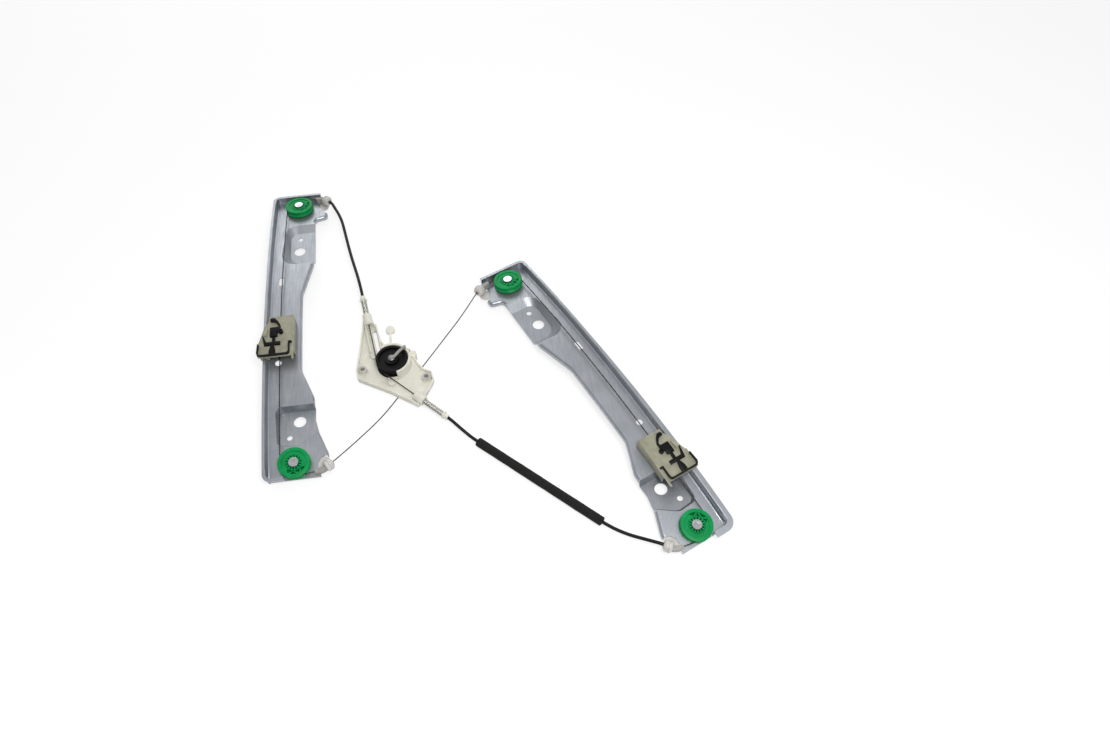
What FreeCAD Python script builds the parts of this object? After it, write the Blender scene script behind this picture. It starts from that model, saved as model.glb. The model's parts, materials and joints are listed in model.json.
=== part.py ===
import FreeCAD, Part
import math
import os
from types import SimpleNamespace

import Sketcher
from FreeCAD import Placement, Rotation, Vector

# Cable window regulator with two curved rails, lying on its back with the glass side up.
# Millimetres, +Z up. The origin is on the drum's axis, at the level of the table.
# Each rail has its own directions: u from the pulleys' centre line towards the inner edge,
# v up the rail from its middle, and w out of the web.

SIZES = {
    # Rails
    "rail_arc_radius": 1400.0,      # radius of the web's top face along the rail
    "crown_height": 31.0,           # web's top face above the table at the rail's middle
    "sheet": 1.6,                   # rail sheet
    "wall_offset": 36.6,            # outer wall's outer face from the pulleys' centre line
    "wall_height": 12.0,
    "lip_width": 6.5,               # at its widest, at the foot of the right rail
    "narrow_lip": 2.8,
    "wall_bend": 2.0,               # inside radius of the wall's bend
    "lip_bend": 0.8,                # inside radius of the lip's bend
    "end_bend": 7.0,                # outside radius of the walls' corners
    "top_margin": 23.0,             # rail's ends beyond the pulleys' centres
    "foot_margin": 20.0,
    "foot_wall_end": -13.0,         # where the foot's wall stops short of the pulley
    "edge_flange": 7.6,             # depth of the inner edge's flange
    "edge_bend": 4.0,               # outside radius of the inner edge's fold
    "waist_edge": 9.0,
    "top_pad_edge": 23.5,
    "low_pad_edge": 25.5,
    "foot_edge": 42.0,
    "tab_edge": 41.5,
    "pad_height": 11.6,             # top of the mounting pads above the table
    "pad_hole": 8.25,               # radius
    "locating_hole": 3.75,          # radius
    "slot_length": 16.0,
    "slot_width": 6.4,
    "drain_hole": 4.4,              # radius
    # Pulleys and axles
    "pulley_span": 456.0,
    "pulley_radius": 20.6,
    "pulley_thickness": 9.5,
    "groove_radius": 18.0,          # cable's centre line in a pulley's groove
    "groove_half_mouth": 2.4,
    "pulley_eye": 10.0,             # radius of the recess round the rivet's head
    "pulley_hub": 11.2,             # outside radius of the ring round that recess
    "pulley_rim": 15.4,             # inside radius of the face ring at the rim
    "pulley_recess": 2.6,
    "spoke_width": 0.9,
    "rivet_shank": 4.6,
    "rivet_head": 6.5,
    "rivet_foot": 1.6,              # thickness of the closed head under the web
    # Cables
    "cable_radius": 0.75,
    "cable_height": 6.0,            # cable's centre line above the web
    "conduit_radius": 2.2,
    "conduit_bore": 1.15,
    "foam_radius": 6.25,
    "nipple_radius": 2.6,
    "nipple_length": 9.0,
    # Carriers
    "carrier_length": 74.0,
    "carrier_inner_edge": 2.4,
    "carrier_outer_edge": 46.4,
    "carrier_cheek_edge": 30.0,
    "carrier_plate_bottom": 14.6,
    "carrier_plate": 2.6,
    "seat_strip": 1.8,
    "seat_height": 4.2,
    "pin_eye": 3.2,                 # outside radius of the clip's eye
    "pin_hole": 1.2,
    "shoe_length": 26.0,
    "clip_eye_height": 5.5,
    "left_carrier_up": 182.0,       # carriers' middles above their lower pulleys
    "right_carrier_up": 89.0,
    # Drum housing
    "plate_bottom": 4.0,
    "plate_thickness": 4.0,
    "drum_radius": 21.7,
    "drum_height": 17.0,
    "drum_groove": 20.3,            # cable's centre line on the drum
    "drum_pitch": 2.8,
    "journal_radius": 13.0,
    "hub_recess": 5.4,              # radius of the hub's seat for its cap
    "spline_radius": 6.0,
    "collar_wall": 2.8,
    "collar_height": 17.5,
    "nozzle_radius": 6.3,
    "spring_radius": 4.3,
    "boss_radius": 5.0,
    "motor_bolt_circle": 31.0,      # radius of the circle through the motor's bolts
    "motor_bolt": 2.5,              # radius
    "ear_hole": 4.4,                # radius of the holes for the bushes
    "bush_bore": 3.1,
    # Clearances
    "running_gap": 0.05,
    "seat_gap": 0.25,
    "head_gap": 0.06,               # under a flat head on the curved web
    "slide_gap": 0.3,
    "cable_gap": 0.3,
}

# Where the rails stand: the middle of the pulleys' centre line and the turn about +Z.
LEFT_RAIL_AT = (-130.3, 86.0)
RIGHT_RAIL_AT = (264.9, -91.0)
RIGHT_RAIL_TURN = 23.6

doc = FreeCAD.newDocument("window_regulator")
sheet = doc.addObject("Spreadsheet::Sheet", "sizes")
sheet.Label = "driving dimensions"
for row, (alias, value) in enumerate(SIZES.items(), start=1):
    sheet.set("A%d" % row, alias.replace("_", " "))
    sheet.set("B%d" % row, str(value))
    sheet.setAlias("B%d" % row, alias)
doc.recompute()


class Size:
    """A length with the sheet formula that gives it, so that both stay together."""

    def __init__(self, formula, value):
        self.formula = formula
        self.value = value

    def __float__(self):
        return self.value

    def combined(self, sign, other, value, swapped=False):
        first, second = (other, self) if swapped else (self, other)
        return Size("(%s %s %s)" % (formula_of(first), sign, formula_of(second)), value)

    def __add__(self, other):
        return self.combined("+", other, self.value + float(other))

    def __radd__(self, other):
        return self.combined("+", other, float(other) + self.value, swapped=True)

    def __sub__(self, other):
        return self.combined("-", other, self.value - float(other))

    def __rsub__(self, other):
        return self.combined("-", other, float(other) - self.value, swapped=True)

    def __mul__(self, other):
        return self.combined("*", other, self.value * float(other))

    def __rmul__(self, other):
        return self.combined("*", other, float(other) * self.value, swapped=True)

    def __truediv__(self, other):
        return self.combined("/", other, self.value / float(other))

    def __neg__(self):
        return Size("(0 - %s)" % self.formula, -self.value)


def formula_of(length):
    """The length as text for an expression."""
    return length.formula if isinstance(length, Size) else "%.6f" % length


# The same sizes twice: bound ones for features, plain numbers for Part's functions.
bound = SimpleNamespace(**{alias: Size("sizes." + alias, float(sheet.get(alias))) for alias in SIZES})
plain = SimpleNamespace(**{alias: float(sheet.get(alias)) for alias in SIZES})

nodes = []


def bind(feature, name, length):
    """Sets a property and ties it to the sheet where the length comes from there."""
    if isinstance(length, Size):
        feature.setExpression(name, length.formula)
    else:
        setattr(feature, name, length)


def new_body(label):
    """A body that becomes one file."""
    body = doc.addObject("PartDesign::Body", label)
    body.Label = label
    nodes.append(body)
    return body


def origin_plane(body, role):
    """One of the body's own origin planes."""
    for feature in body.Origin.OriginFeatures:
        if feature.Role == role:
            return feature
    raise ValueError("no plane named " + role)


def new_sketch(body, name, role="XY_Plane", level=0.0):
    """A sketch on one of the body's origin planes, lifted along its normal."""
    sketch = body.newObject("Sketcher::SketchObject", name)
    sketch.AttachmentSupport = (origin_plane(body, role), [""])
    sketch.MapMode = "FlatFace"
    sketch.AttachmentOffset = Placement(Vector(0, 0, float(level)), Rotation())
    if isinstance(level, Size):
        sketch.setExpression("AttachmentOffset.Base.z", level.formula)
    return sketch


def hold_point(sketch, curve, point, across, up):
    """Places one point of a curve from the sketch's origin."""
    for kind, length, axis in (("DistanceX", across, -2), ("DistanceY", up, -1)):
        if not isinstance(length, Size) and abs(length) < 1e-9:
            sketch.addConstraint(Sketcher.Constraint("PointOnObject", curve, point, axis))
            continue
        place = Sketcher.Constraint(kind, -1, 1, curve, point, float(length))
        index = sketch.addConstraint(place)
        if isinstance(length, Size):
            sketch.setExpression("Constraints[%d]" % index, length.formula)


def draw_polygon(sketch, corners):
    """A closed outline through the corners."""
    first = sketch.GeometryCount
    count = len(corners)
    for index in range(count):
        start = corners[index]
        end = corners[(index + 1) % count]
        line = Part.LineSegment(Vector(float(start[0]), float(start[1]), 0),
                                Vector(float(end[0]), float(end[1]), 0))
        sketch.addGeometry(line, False)
    for index in range(count):
        following = first + (index + 1) % count
        sketch.addConstraint(Sketcher.Constraint("Coincident", first + index, 2, following, 1))
    for index, (across, up) in enumerate(corners):
        hold_point(sketch, first + index, 1, across, up)


def draw_circle(sketch, across, up, radius):
    """A circle whose centre and radius are held."""
    centre = Vector(float(across), float(up), 0)
    curve = sketch.addGeometry(Part.Circle(centre, Vector(0, 0, 1), float(radius)), False)
    hold_point(sketch, curve, 3, across, up)
    index = sketch.addConstraint(Sketcher.Constraint("Radius", curve, float(radius)))
    if isinstance(radius, Size):
        sketch.setExpression("Constraints[%d]" % index, radius.formula)


def pad(body, sketch, length, both_ways=False):
    """Adds the sketch's area as a block of the given length."""
    feature = body.newObject("PartDesign::Pad", sketch.Name + "_pad")
    feature.Profile = sketch
    bind(feature, "Length", length)
    feature.Midplane = both_ways
    sketch.Visibility = False
    return feature


def pocket(body, sketch, length, both_ways=False):
    """Cuts the sketch's area, downwards from the sketch unless both ways."""
    feature = body.newObject("PartDesign::Pocket", sketch.Name + "_pocket")
    feature.Profile = sketch
    bind(feature, "Length", length)
    feature.Midplane = both_ways
    return feature


def revolve(body, sketch):
    """Turns the sketch once round its vertical axis."""
    feature = body.newObject("PartDesign::Revolution", sketch.Name + "_turned")
    feature.Profile = sketch
    feature.ReferenceAxis = (sketch, ["V_Axis"])
    feature.Angle = 360
    return feature


def repeat_round(body, feature, count):
    """Repeats a feature round the body's Z axis."""
    pattern = body.newObject("PartDesign::PolarPattern", feature.Name + "_round")
    pattern.Originals = [feature]
    for axis in body.Origin.OriginFeatures:
        if axis.Role == "Z_Axis":
            pattern.Axis = (axis, [""])
    pattern.Angle = 360
    pattern.Occurrences = count
    body.Tip = pattern
    return pattern


def turned_body(label, profile):
    """A body of revolution about Z through the (radius, height) corners."""
    body = new_body(label)
    sketch = new_sketch(body, label + "_profile", "XZ_Plane")
    draw_polygon(sketch, profile)
    revolve(body, sketch)
    return body


def new_feature(label, shape, placement=Placement()):
    """A node whose shape comes from Part's functions."""
    feature = doc.addObject("Part::Feature", label)
    feature.Label = label
    feature.Shape = shape
    feature.Placement = placement
    nodes.append(feature)
    return feature


# Places on a rail


def rail_placement(side):
    """From a rail's own directions to the object's. The right rail's u points to -X."""
    if side > 0:
        return Placement(Vector(*LEFT_RAIL_AT, 0), Rotation())
    return Placement(Vector(*RIGHT_RAIL_AT, 0), Rotation(Vector(0, 0, 1), RIGHT_RAIL_TURN))


def travel_turn(along):
    """The turn about the far axis that carries a piece up the rail from its middle."""
    centre = Vector(0, 0, plain.crown_height - plain.rail_arc_radius)
    angle = math.degrees(along / plain.rail_arc_radius)
    return Placement(Vector(), Rotation(Vector(-1, 0, 0), angle), centre)


def pulley_placement(side, end):
    """The pulley's own place: z out of the web, and z = 0 in the cable's plane."""
    lift = Placement(Vector(0, 0, plain.crown_height + plain.cable_height), Rotation())
    return rail_placement(side).multiply(travel_turn(end * plain.pulley_span / 2)).multiply(lift)


# Rails


def rounded_outline(corners, level=0.0):
    """A closed wire through (across, along, corner radius) corners."""
    count = len(corners)
    edges = []
    ends = []
    for index in range(count):
        here = Vector(corners[index][0], corners[index][1], level)
        before = Vector(corners[index - 1][0], corners[index - 1][1], level)
        after = Vector(corners[(index + 1) % count][0], corners[(index + 1) % count][1], level)
        radius = corners[index][2]
        if radius == 0:
            ends.append((here, here, None))
            continue
        incoming = (here - before).normalize()
        outgoing = (after - here).normalize()
        turn = incoming.getAngle(outgoing)
        reach = radius * math.tan(turn / 2)
        start = here - incoming * reach
        end = here + outgoing * reach
        inward = (outgoing - incoming).normalize()
        middle = here + inward * (math.hypot(radius, reach) - radius)
        ends.append((start, end, middle))
    for index in range(count):
        start, end, middle = ends[index]
        if middle is not None:
            edges.append(Part.Arc(start, middle, end).toShape())
        edges.append(Part.LineSegment(end, ends[(index + 1) % count][0]).toShape())
    return Part.Wire(edges)


def arc_block(across_low, across_high, out_low, out_high, along_low, along_high):
    """A block bent along the rail's arc."""
    z = plain.crown_height
    corners = [(across_low, out_low), (across_high, out_low), (across_high, out_high), (across_low, out_high)]
    return arc_sweep(Part.makePolygon([Vector(u, 0, z + w) for u, w in corners + corners[:1]]),
                     along_low, along_high)


def arc_sweep(wire, along_low, along_high):
    """Turns a section at the rail's middle about the far axis from one end to the other."""
    centre = Vector(0, 0, plain.crown_height - plain.rail_arc_radius)
    face = Part.Face(wire)
    face.rotate(centre, Vector(-1, 0, 0), math.degrees(along_low / plain.rail_arc_radius))
    turn = math.degrees((along_high - along_low) / plain.rail_arc_radius)
    return face.revolve(centre, Vector(-1, 0, 0), turn)


def upright(wire):
    """A tall prism over an outline."""
    return Part.Face(wire).extrude(Vector(0, 0, 120)).translated(Vector(0, 0, -40))


def rail_ends():
    """The pulleys' centres and the rail's two ends, all along the rail."""
    upper = plain.pulley_span / 2
    return upper, -upper, upper + plain.top_margin, -upper - plain.foot_margin


def rail_edge_corners(spare):
    """The rail's outline, foot first. Spare moves the three outer sides outwards."""
    upper, lower, top, foot = rail_ends()
    web_edge = -plain.wall_offset + plain.sheet + plain.wall_bend - spare
    return [
        (web_edge, foot - spare, 0),
        (plain.foot_edge, foot - spare, 0),
        (plain.foot_edge, lower + 14, 8),
        (plain.low_pad_edge + 4.5, lower + 46, 16),
        (plain.low_pad_edge, lower + 66, 16),
        (plain.low_pad_edge, lower + 96, 18),
        (plain.waist_edge, lower + 140, 34),
        (plain.waist_edge, upper - 186, 34),
        (plain.top_pad_edge, upper - 128, 18),
        (plain.top_pad_edge, upper - 27, 6),
        (plain.tab_edge, upper - 22, 6),
        (plain.tab_edge, upper - 2, 5),
        (plain.tab_edge - 5.5, upper + 8, 5),
        (plain.tab_edge - 6.5, top + spare, 0),
        (web_edge, top + spare, 0),
    ]


def folded_web():
    """The web with its inner edge folded down."""
    upper, lower, rail_top, foot = rail_ends()
    radius = plain.rail_arc_radius
    centre = Vector(0, 0, plain.crown_height - radius)
    shells = []
    for inset, bend, spare in ((0.0, plain.edge_bend, 0.0), (plain.sheet, plain.edge_bend - plain.sheet, 30.0)):
        outline = rounded_outline(rail_edge_corners(spare))
        if inset:
            outline = outline.makeOffset2D(-inset)
        top = -inset
        slab = arc_block(-120, 120, -plain.edge_flange - inset, top, foot - spare, rail_top + spare)
        block = slab.common(upright(outline))
        fold = []
        for edge in block.Edges:
            middle = edge.valueAt((edge.FirstParameter + edge.LastParameter) / 2)
            level = math.hypot(middle.y, middle.z - centre.z) - radius
            inner = middle.x > -plain.wall_offset + 12 and foot + 2 - spare < middle.y < rail_top - 2 + spare
            if abs(level - top) < 0.01 and inner:
                fold.append(edge)
        shells.append(block.makeFillet(bend, fold))
    return shells[0].cut(shells[1])


def outer_wall(lip):
    """The outer wall with its lip, one bent strip along the whole rail."""
    upper, lower, rail_top, foot = rail_ends()
    z = plain.crown_height
    thick = plain.sheet
    bend = plain.wall_bend
    lip_bend = plain.lip_bend
    face = -plain.wall_offset
    root = face + thick + bend
    top = plain.wall_height
    slant = math.sqrt(0.5)

    def at(across, out):
        return Vector(across, 0, z + out)

    low = (root, bend)
    high = (face - lip_bend, top - thick - lip_bend)
    outer = bend + thick
    lip_outer = lip_bend + thick
    end = face - lip
    edges = [
        Part.LineSegment(at(root, -thick), at(root, 0)),
        Part.Arc(at(root, 0), at(low[0] - bend * slant, low[1] - bend * slant), at(root - bend, bend)),
        Part.LineSegment(at(root - bend, bend), at(root - bend, high[1])),
        Part.Arc(at(root - bend, high[1]), at(high[0] + lip_outer * slant, high[1] + lip_outer * slant),
                 at(high[0], top)),
        Part.LineSegment(at(high[0], top), at(end, top)),
        Part.LineSegment(at(end, top), at(end, top - thick)),
        Part.LineSegment(at(end, top - thick), at(high[0], top - thick)),
        Part.Arc(at(high[0], top - thick), at(high[0] + lip_bend * slant, high[1] + lip_bend * slant),
                 at(face, high[1])),
        Part.LineSegment(at(face, high[1]), at(face, bend)),
        Part.Arc(at(face, bend), at(low[0] - outer * slant, low[1] - outer * slant), at(root, -thick)),
    ]
    wire = Part.Wire([edge.toShape() for edge in edges])
    return arc_sweep(wire, foot + plain.end_bend, rail_top - plain.end_bend)


def end_wall(end, way, reach, lip):
    """The wall across one end of the rail, bent round the corner into the outer wall. Way is 1 at the top."""
    face = -plain.wall_offset
    thick = plain.sheet
    bend = plain.end_bend
    back = end - way * 2 * bend
    outer = upright(rounded_outline([(face, end, bend), (reach, end, 0), (reach, back, 0), (face, back, 0)]))
    inner = upright(rounded_outline([
        (face + thick, end - way * thick, bend - thick), (reach + 5, end - way * thick, 0),
        (reach + 5, back - way * 5, 0), (face + thick, back - way * 5, 0)]))
    rim = upright(rounded_outline([
        (face - lip, end + way * lip, bend + lip), (reach, end + way * lip, 0), (reach, back, 0),
        (face - lip, back, 0)]))
    low, high = min(end, back), max(end, back)
    wall = outer.cut(inner).common(arc_block(face - 5, reach + 5, -thick / 2, plain.wall_height, low, high))
    bent = end - way * bend
    low, high = min(end + way * lip, bent), max(end + way * lip, bent)
    band = rim.cut(inner).common(
        arc_block(face - lip - 5, reach + 5, plain.wall_height - thick, plain.wall_height, low, high))
    web_edge = face + thick + plain.wall_bend
    corner = outer.common(arc_block(face - 5, web_edge + 1, -thick, 0, low, high))
    return wall.fuse(band).fuse(corner)


def dish(floor, mouth, grow, level):
    """The solid of a pad's recess, grown by a thickness, from its floor to above the web."""
    rise = 24.0
    depth = plain.crown_height - plain.pad_height - 8
    floor_wire = rounded_outline(floor, level)
    steep = []
    for (u0, v0, r0), (u1, v1, r1) in zip(floor, mouth):
        share = rise / depth
        steep.append((u0 + (u1 - u0) * share, v0 + (v1 - v0) * share, r0 + (r1 - r0) * share))
    mouth_wire = rounded_outline(steep, level + rise)
    if grow:
        floor_wire = floor_wire.makeOffset2D(grow)
        mouth_wire = mouth_wire.makeOffset2D(grow)
    return Part.makeLoft([floor_wire, mouth_wire], True, True)


# Holes in the mounting pads: across, and along from the pulley at that end
TOP_PAD_HOLES = ((0.4, -86.3), (1.3, -61.8))
BOTTOM_PAD_HOLES = ((4.8, 65.8), (-8.1, 42.7))
OPEN_SIDE = 55.0


def rail_pads():
    """Floor and mouth outlines of the two mounting pads, open at the inner edge."""
    upper, lower, top, foot = rail_ends()
    far = OPEN_SIDE
    high_pad = (
        [(-13, upper - 111, 16), (far, upper - 111, 0), (far, upper - 50, 0), (-13, upper - 50, 12)],
        [(-21, upper - 121, 20), (far, upper - 121, 0), (far, upper - 29, 0), (-21, upper - 29, 20)],
    )
    low_pad = (
        [(-21, lower + 82, 7), (-21, lower + 32, 8), (4, lower + 30, 12), (far, lower + 68, 0), (far, lower + 82, 0)],
        [(-25, lower + 84.5, 9), (-25, lower + 23, 10), (6, lower + 21, 14), (far, lower + 61, 0),
         (far, lower + 84.5, 0)],
    )
    return high_pad, low_pad


def lip_trim(low_lip, high_lip):
    """The space beyond the lip, which is low_lip wide at the foot and high_lip wide further up."""
    upper, lower, top, foot = rail_ends()
    face = -plain.wall_offset
    beyond = face - 60
    return upright(Part.makePolygon([Vector(*point, 0) for point in (
        (beyond, foot - 50), (face - low_lip, foot - 50), (face - low_lip, lower + 40),
        (face - high_lip, upper - 150), (face - high_lip, top + 50), (beyond, top + 50), (beyond, foot - 50))]))


def guide_notches():
    """The cuts at both ends that leave a hooked tab beside the cable's guide."""
    upper, lower, top, foot = rail_ends()
    far = OPEN_SIDE
    edge = plain.foot_edge
    low = upright(rounded_outline([
        (far, lower + 10, 0), (edge - 2, lower + 10, 1), (edge - 9, lower + 7.5, 3), (edge - 13.5, lower + 1, 4),
        (edge - 13.5, lower - 6, 4), (edge - 8.5, foot - 1, 0), (far, foot - 1, 0)]))
    edge = plain.tab_edge
    high = upright(rounded_outline([
        (far, upper - 12, 0), (edge - 3, upper - 12, 2), (edge - 8, upper - 5, 5), (edge - 11, upper + 2, 4),
        (edge - 11.5, upper + 13, 2), (far, upper + 13, 0)]))
    return low, high


def rail_shape(low_lip):
    """One rail as sheet metal: folded web, outer wall, end walls, pads, bosses and holes."""
    upper, lower, top, foot = rail_ends()
    thick = plain.sheet
    z = plain.crown_height
    shape = folded_web().fuse(outer_wall(low_lip))
    shape = shape.fuse(end_wall(top, 1, plain.tab_edge - 9, plain.narrow_lip))
    if low_lip > plain.narrow_lip:
        shape = shape.cut(lip_trim(low_lip, plain.narrow_lip))
    shape = shape.fuse(end_wall(foot, -1, plain.foot_wall_end, low_lip))
    below_top = arc_block(-120, 120, -60, 0, foot - 40, top + 40)
    outline = upright(rounded_outline(rail_edge_corners(0.0)))
    for floor, mouth in rail_pads():
        outer = dish(floor, mouth, thick, plain.pad_height - thick)
        inner = dish(floor, mouth, 0.0, plain.pad_height)
        shape = shape.fuse(outer.common(below_top).common(outline)).cut(inner)
    for notch in guide_notches():
        shape = shape.cut(notch)
    boss_top = plain.cable_height - plain.pulley_thickness / 2 - plain.seat_gap
    for centre in (upper, lower):
        seat = Part.makeCylinder(plain.pulley_hub, boss_top + thick / 2, Vector(0, 0, z - thick / 2))
        bore = Part.makeCylinder(plain.rivet_shank + plain.seat_gap, 30, Vector(0, 0, z - 15))
        room = Part.makeCylinder(plain.pulley_radius + 0.8, 30, Vector(0, 0, z + 0.4))
        turn = travel_turn(centre).toMatrix()
        shape = shape.cut(room.transformed(turn)).fuse(seat.transformed(turn)).cut(bore.transformed(turn))
    for centre, (big, small) in ((upper, TOP_PAD_HOLES), (lower, BOTTOM_PAD_HOLES)):
        shape = shape.cut(Part.makeCylinder(plain.pad_hole, 60, Vector(big[0], centre + big[1], -10)))
        shape = shape.cut(Part.makeCylinder(plain.locating_hole, 60, Vector(small[0], centre + small[1], -10)))
    shape = shape.cut(Part.makeCylinder(plain.drain_hole, 60, Vector(-21.6, lower + 153, 0)))
    corner = plain.slot_width / 2 - 0.01
    slot = [(-21.2 + a * plain.slot_width / 2, upper - 158 + b * plain.slot_length / 2, corner)
            for a, b in ((-1, -1), (1, -1), (1, 1), (-1, 1))]
    return shape.cut(upright(rounded_outline(slot)))


def make_rails():
    new_feature("left_rail", rail_shape(plain.narrow_lip), rail_placement(1))
    right = rail_shape(plain.lip_width).mirror(Vector(), Vector(1, 0, 0))
    new_feature("right_rail", right, rail_placement(-1))


# Pulleys and their rivets

CORNERS = (("left", 1, "upper", 1), ("left", 1, "lower", -1), ("right", -1, "upper", 1), ("right", -1, "lower", -1))
SPOKES = 16
# Where the ribbed part of each pulley's face lies at rest, in degrees
RIBBED_SIDE = {("left", "upper"): -25.0, ("left", "lower"): -80.0, ("right", "upper"): -35.0, ("right", "lower"): 45.0}


def make_pulley(label):
    """A pulley with a cable groove, a recess with spokes round the rivet and a few ribbed windows."""
    b = bound
    half = b.pulley_thickness / 2
    bore = b.rivet_shank + b.running_gap
    root = b.groove_radius - b.cable_radius - b.cable_gap
    groove = b.cable_radius + b.cable_gap
    deep = half - b.pulley_recess
    body = turned_body(label, [
        (bore, -half), (b.pulley_radius, -half), (b.pulley_radius, -b.groove_half_mouth), (root, -groove * 0.6),
        (root, groove * 0.6), (b.pulley_radius, b.groove_half_mouth), (b.pulley_radius, half),
        (b.pulley_rim + 0.5, half), (b.pulley_rim, half - 0.7), (b.pulley_hub, half - 0.7),
        (b.pulley_hub - 0.4, half), (b.pulley_eye, half), (b.pulley_eye, deep), (bore, deep)])
    spoke = new_sketch(body, label + "_spoke", level=deep)
    wide = b.spoke_width / 2
    near = b.rivet_head + 0.5
    draw_polygon(spoke, [(near, -wide), (b.pulley_eye + 0.3, -wide), (b.pulley_eye + 0.3, wide), (near, wide)])
    repeat_round(body, pad(body, spoke, b.pulley_recess - 0.8), SPOKES)
    inner = b.pulley_hub + 0.4
    outer = b.pulley_rim - 0.4
    for index, (middle, points_out) in enumerate(((-42, False), (-14, True), (14, False), (42, True))):
        base, tip = (inner, outer) if points_out else (outer, inner)
        corners = []
        for radius, turn in ((base, middle - 12), (tip, middle - 1.5), (tip, middle + 1.5), (base, middle + 12)):
            angle = math.radians(turn)
            corners.append((radius * math.cos(angle), radius * math.sin(angle)))
        window = new_sketch(body, "%s_window_%d" % (label, index), level=half)
        draw_polygon(window, corners)
        pocket(body, window, b.pulley_recess)
    return body


def make_rivet(label):
    """A solid rivet through the web with a flat head in the pulley's recess."""
    b = bound
    deep = b.pulley_thickness / 2 - b.pulley_recess + b.seat_gap
    top = b.pulley_thickness / 2 + 1.1
    web = -(b.cable_height + b.sheet + b.head_gap)
    return turned_body(label, [
        (0, web - b.rivet_foot), (b.rivet_shank + 2, web - b.rivet_foot), (b.rivet_shank + 2.6, web),
        (b.rivet_shank, web), (b.rivet_shank, deep), (b.rivet_head, deep), (b.rivet_head, top - 0.6),
        (b.rivet_head - 0.6, top), (0, top)])


def make_pulleys():
    for side_name, side, end_name, end in CORNERS:
        name = "%s_%s" % (side_name, end_name)
        place = pulley_placement(side, end)
        make_rivet(name + "_rivet").Placement = place
        turn = Placement(Vector(), Rotation(Vector(0, 0, 1), RIBBED_SIDE[(side_name, end_name)]))
        make_pulley(name + "_pulley").Placement = place.multiply(turn)


# Where the carrier's ribs end, as shares of its length from its middle
RIBS_TOP = 0.5
RIBS_FOOT = -0.27

# Cable routes. Each guide bends the cable from the pulley's tangent to its leaving direction.

GUIDE_BEND = 14.0
GUIDE_AT = {
    # where the two straights meet, across and along from the pulley, and the leaving angle
    ("left", "upper"): (34.5, 16.5, -41.0),
    ("right", "upper"): (34.4, 13.0, -27.0),
    ("left", "lower"): (35.4, -13.0, 34.0),
    ("right", "lower"): (38.4, -11.5, 52.0),
}
GUIDE_LENGTH = 16.0
CONDUIT_SEAT = 9.0


def tangent_angle(corner, end):
    """The angle on the pulley where the cable leaves for a guide."""
    distance = math.hypot(corner[0], corner[1])
    open_angle = math.acos(plain.groove_radius / distance)
    return math.atan2(corner[1], corner[0]) + end * open_angle


def in_pulley_plane(side, end, across, along):
    """A point of the cable's plane at a pulley, in the object's directions."""
    return pulley_placement(side, end).multVec(Vector(side * across, along, 0))


def guide_points(side_name, side, end_name, end):
    """The tangent point, the guide's corner and the point where the guide's barrel ends."""
    across, along, leaving = GUIDE_AT[(side_name, end_name)]
    angle = tangent_angle((across, along), end)
    radius = plain.groove_radius
    tangent = in_pulley_plane(side, end, radius * math.cos(angle), radius * math.sin(angle))
    corner = in_pulley_plane(side, end, across, along)
    turn = math.radians(leaving)
    barrel = in_pulley_plane(side, end, across + GUIDE_LENGTH * math.cos(turn), along + GUIDE_LENGTH * math.sin(turn))
    return tangent, corner, barrel


def bend_radius(before, here, after, room=1000.0):
    """An arc as large as the two runs at a point and the room before it allow."""
    incoming = here - before
    outgoing = after - here
    turn = incoming.getAngle(outgoing)
    return min(0.45 * incoming.Length, 0.45 * outgoing.Length, room) / math.tan(turn / 2)


def route_edges(points, radii):
    """Straight runs joined by tangent arcs."""
    edges = []
    start = points[0]
    for index in range(1, len(points) - 1):
        before, here, after = points[index - 1], points[index], points[index + 1]
        incoming = (here - before).normalize()
        outgoing = (after - here).normalize()
        radius = radii[index - 1]
        reach = radius * math.tan(incoming.getAngle(outgoing) / 2)
        low = here - incoming * reach
        high = here + outgoing * reach
        inward = (outgoing - incoming).normalize()
        middle = here + inward * (math.hypot(radius, reach) - radius)
        edges.append(Part.LineSegment(start, low).toShape())
        edges.append(Part.Arc(low, middle, high).toShape())
        start = high
    edges.append(Part.LineSegment(start, points[-1]).toShape())
    return edges


def pipe(edges, radius):
    """A round rod along the edges, with its volume checked against its length."""
    wire = Part.Wire(edges)
    first = edges[0]
    start = first.valueAt(first.FirstParameter)
    direction = first.tangentAt(first.FirstParameter)
    ring = Part.Wire(Part.Circle(start, direction, radius).toShape())
    rod = wire.makePipeShell([ring], True, False)
    expected = math.pi * radius * radius * wire.Length
    if abs(rod.Volume - expected) > 0.01 * expected:
        raise ValueError("a rod has the wrong volume")
    return rod


def nipple_reach(end):
    """A nipple's middle, up from the carrier's: both sit in the ends of its ribbed channel."""
    edge = plain.carrier_length * (RIBS_TOP if end > 0 else RIBS_FOOT)
    return edge - end * plain.nipple_length / 2


def rail_cable_edges(side, end, carrier_at, tangent):
    """From a carrier's nipple along the rail's arc and round the pulley to the tangent point."""
    place = rail_placement(side)
    line = -side * plain.groove_radius
    lift = Vector(line, 0, plain.crown_height + plain.cable_height)
    nipple_at = carrier_at + nipple_reach(end) - end * plain.nipple_length / 2
    stops = [nipple_at, (nipple_at + end * plain.pulley_span / 2) / 2, end * plain.pulley_span / 2]
    arc = [place.multVec(travel_turn(stop).multVec(lift)) for stop in stops]
    pulley = pulley_placement(side, end)
    local = pulley.inverse().multVec(tangent)
    last = math.atan2(local.y, local.x)
    first = math.pi if side > 0 else 0.0
    sweep = (last - first) % (2 * math.pi)
    if side * end > 0:
        sweep -= 2 * math.pi
    middle = first + sweep / 2
    radius = plain.groove_radius
    wrap = [pulley.multVec(Vector(radius * math.cos(a), radius * math.sin(a), 0)) for a in (first, middle, last)]
    return [Part.Arc(*arc).toShape(), Part.Arc(*wrap).toShape()]


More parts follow.
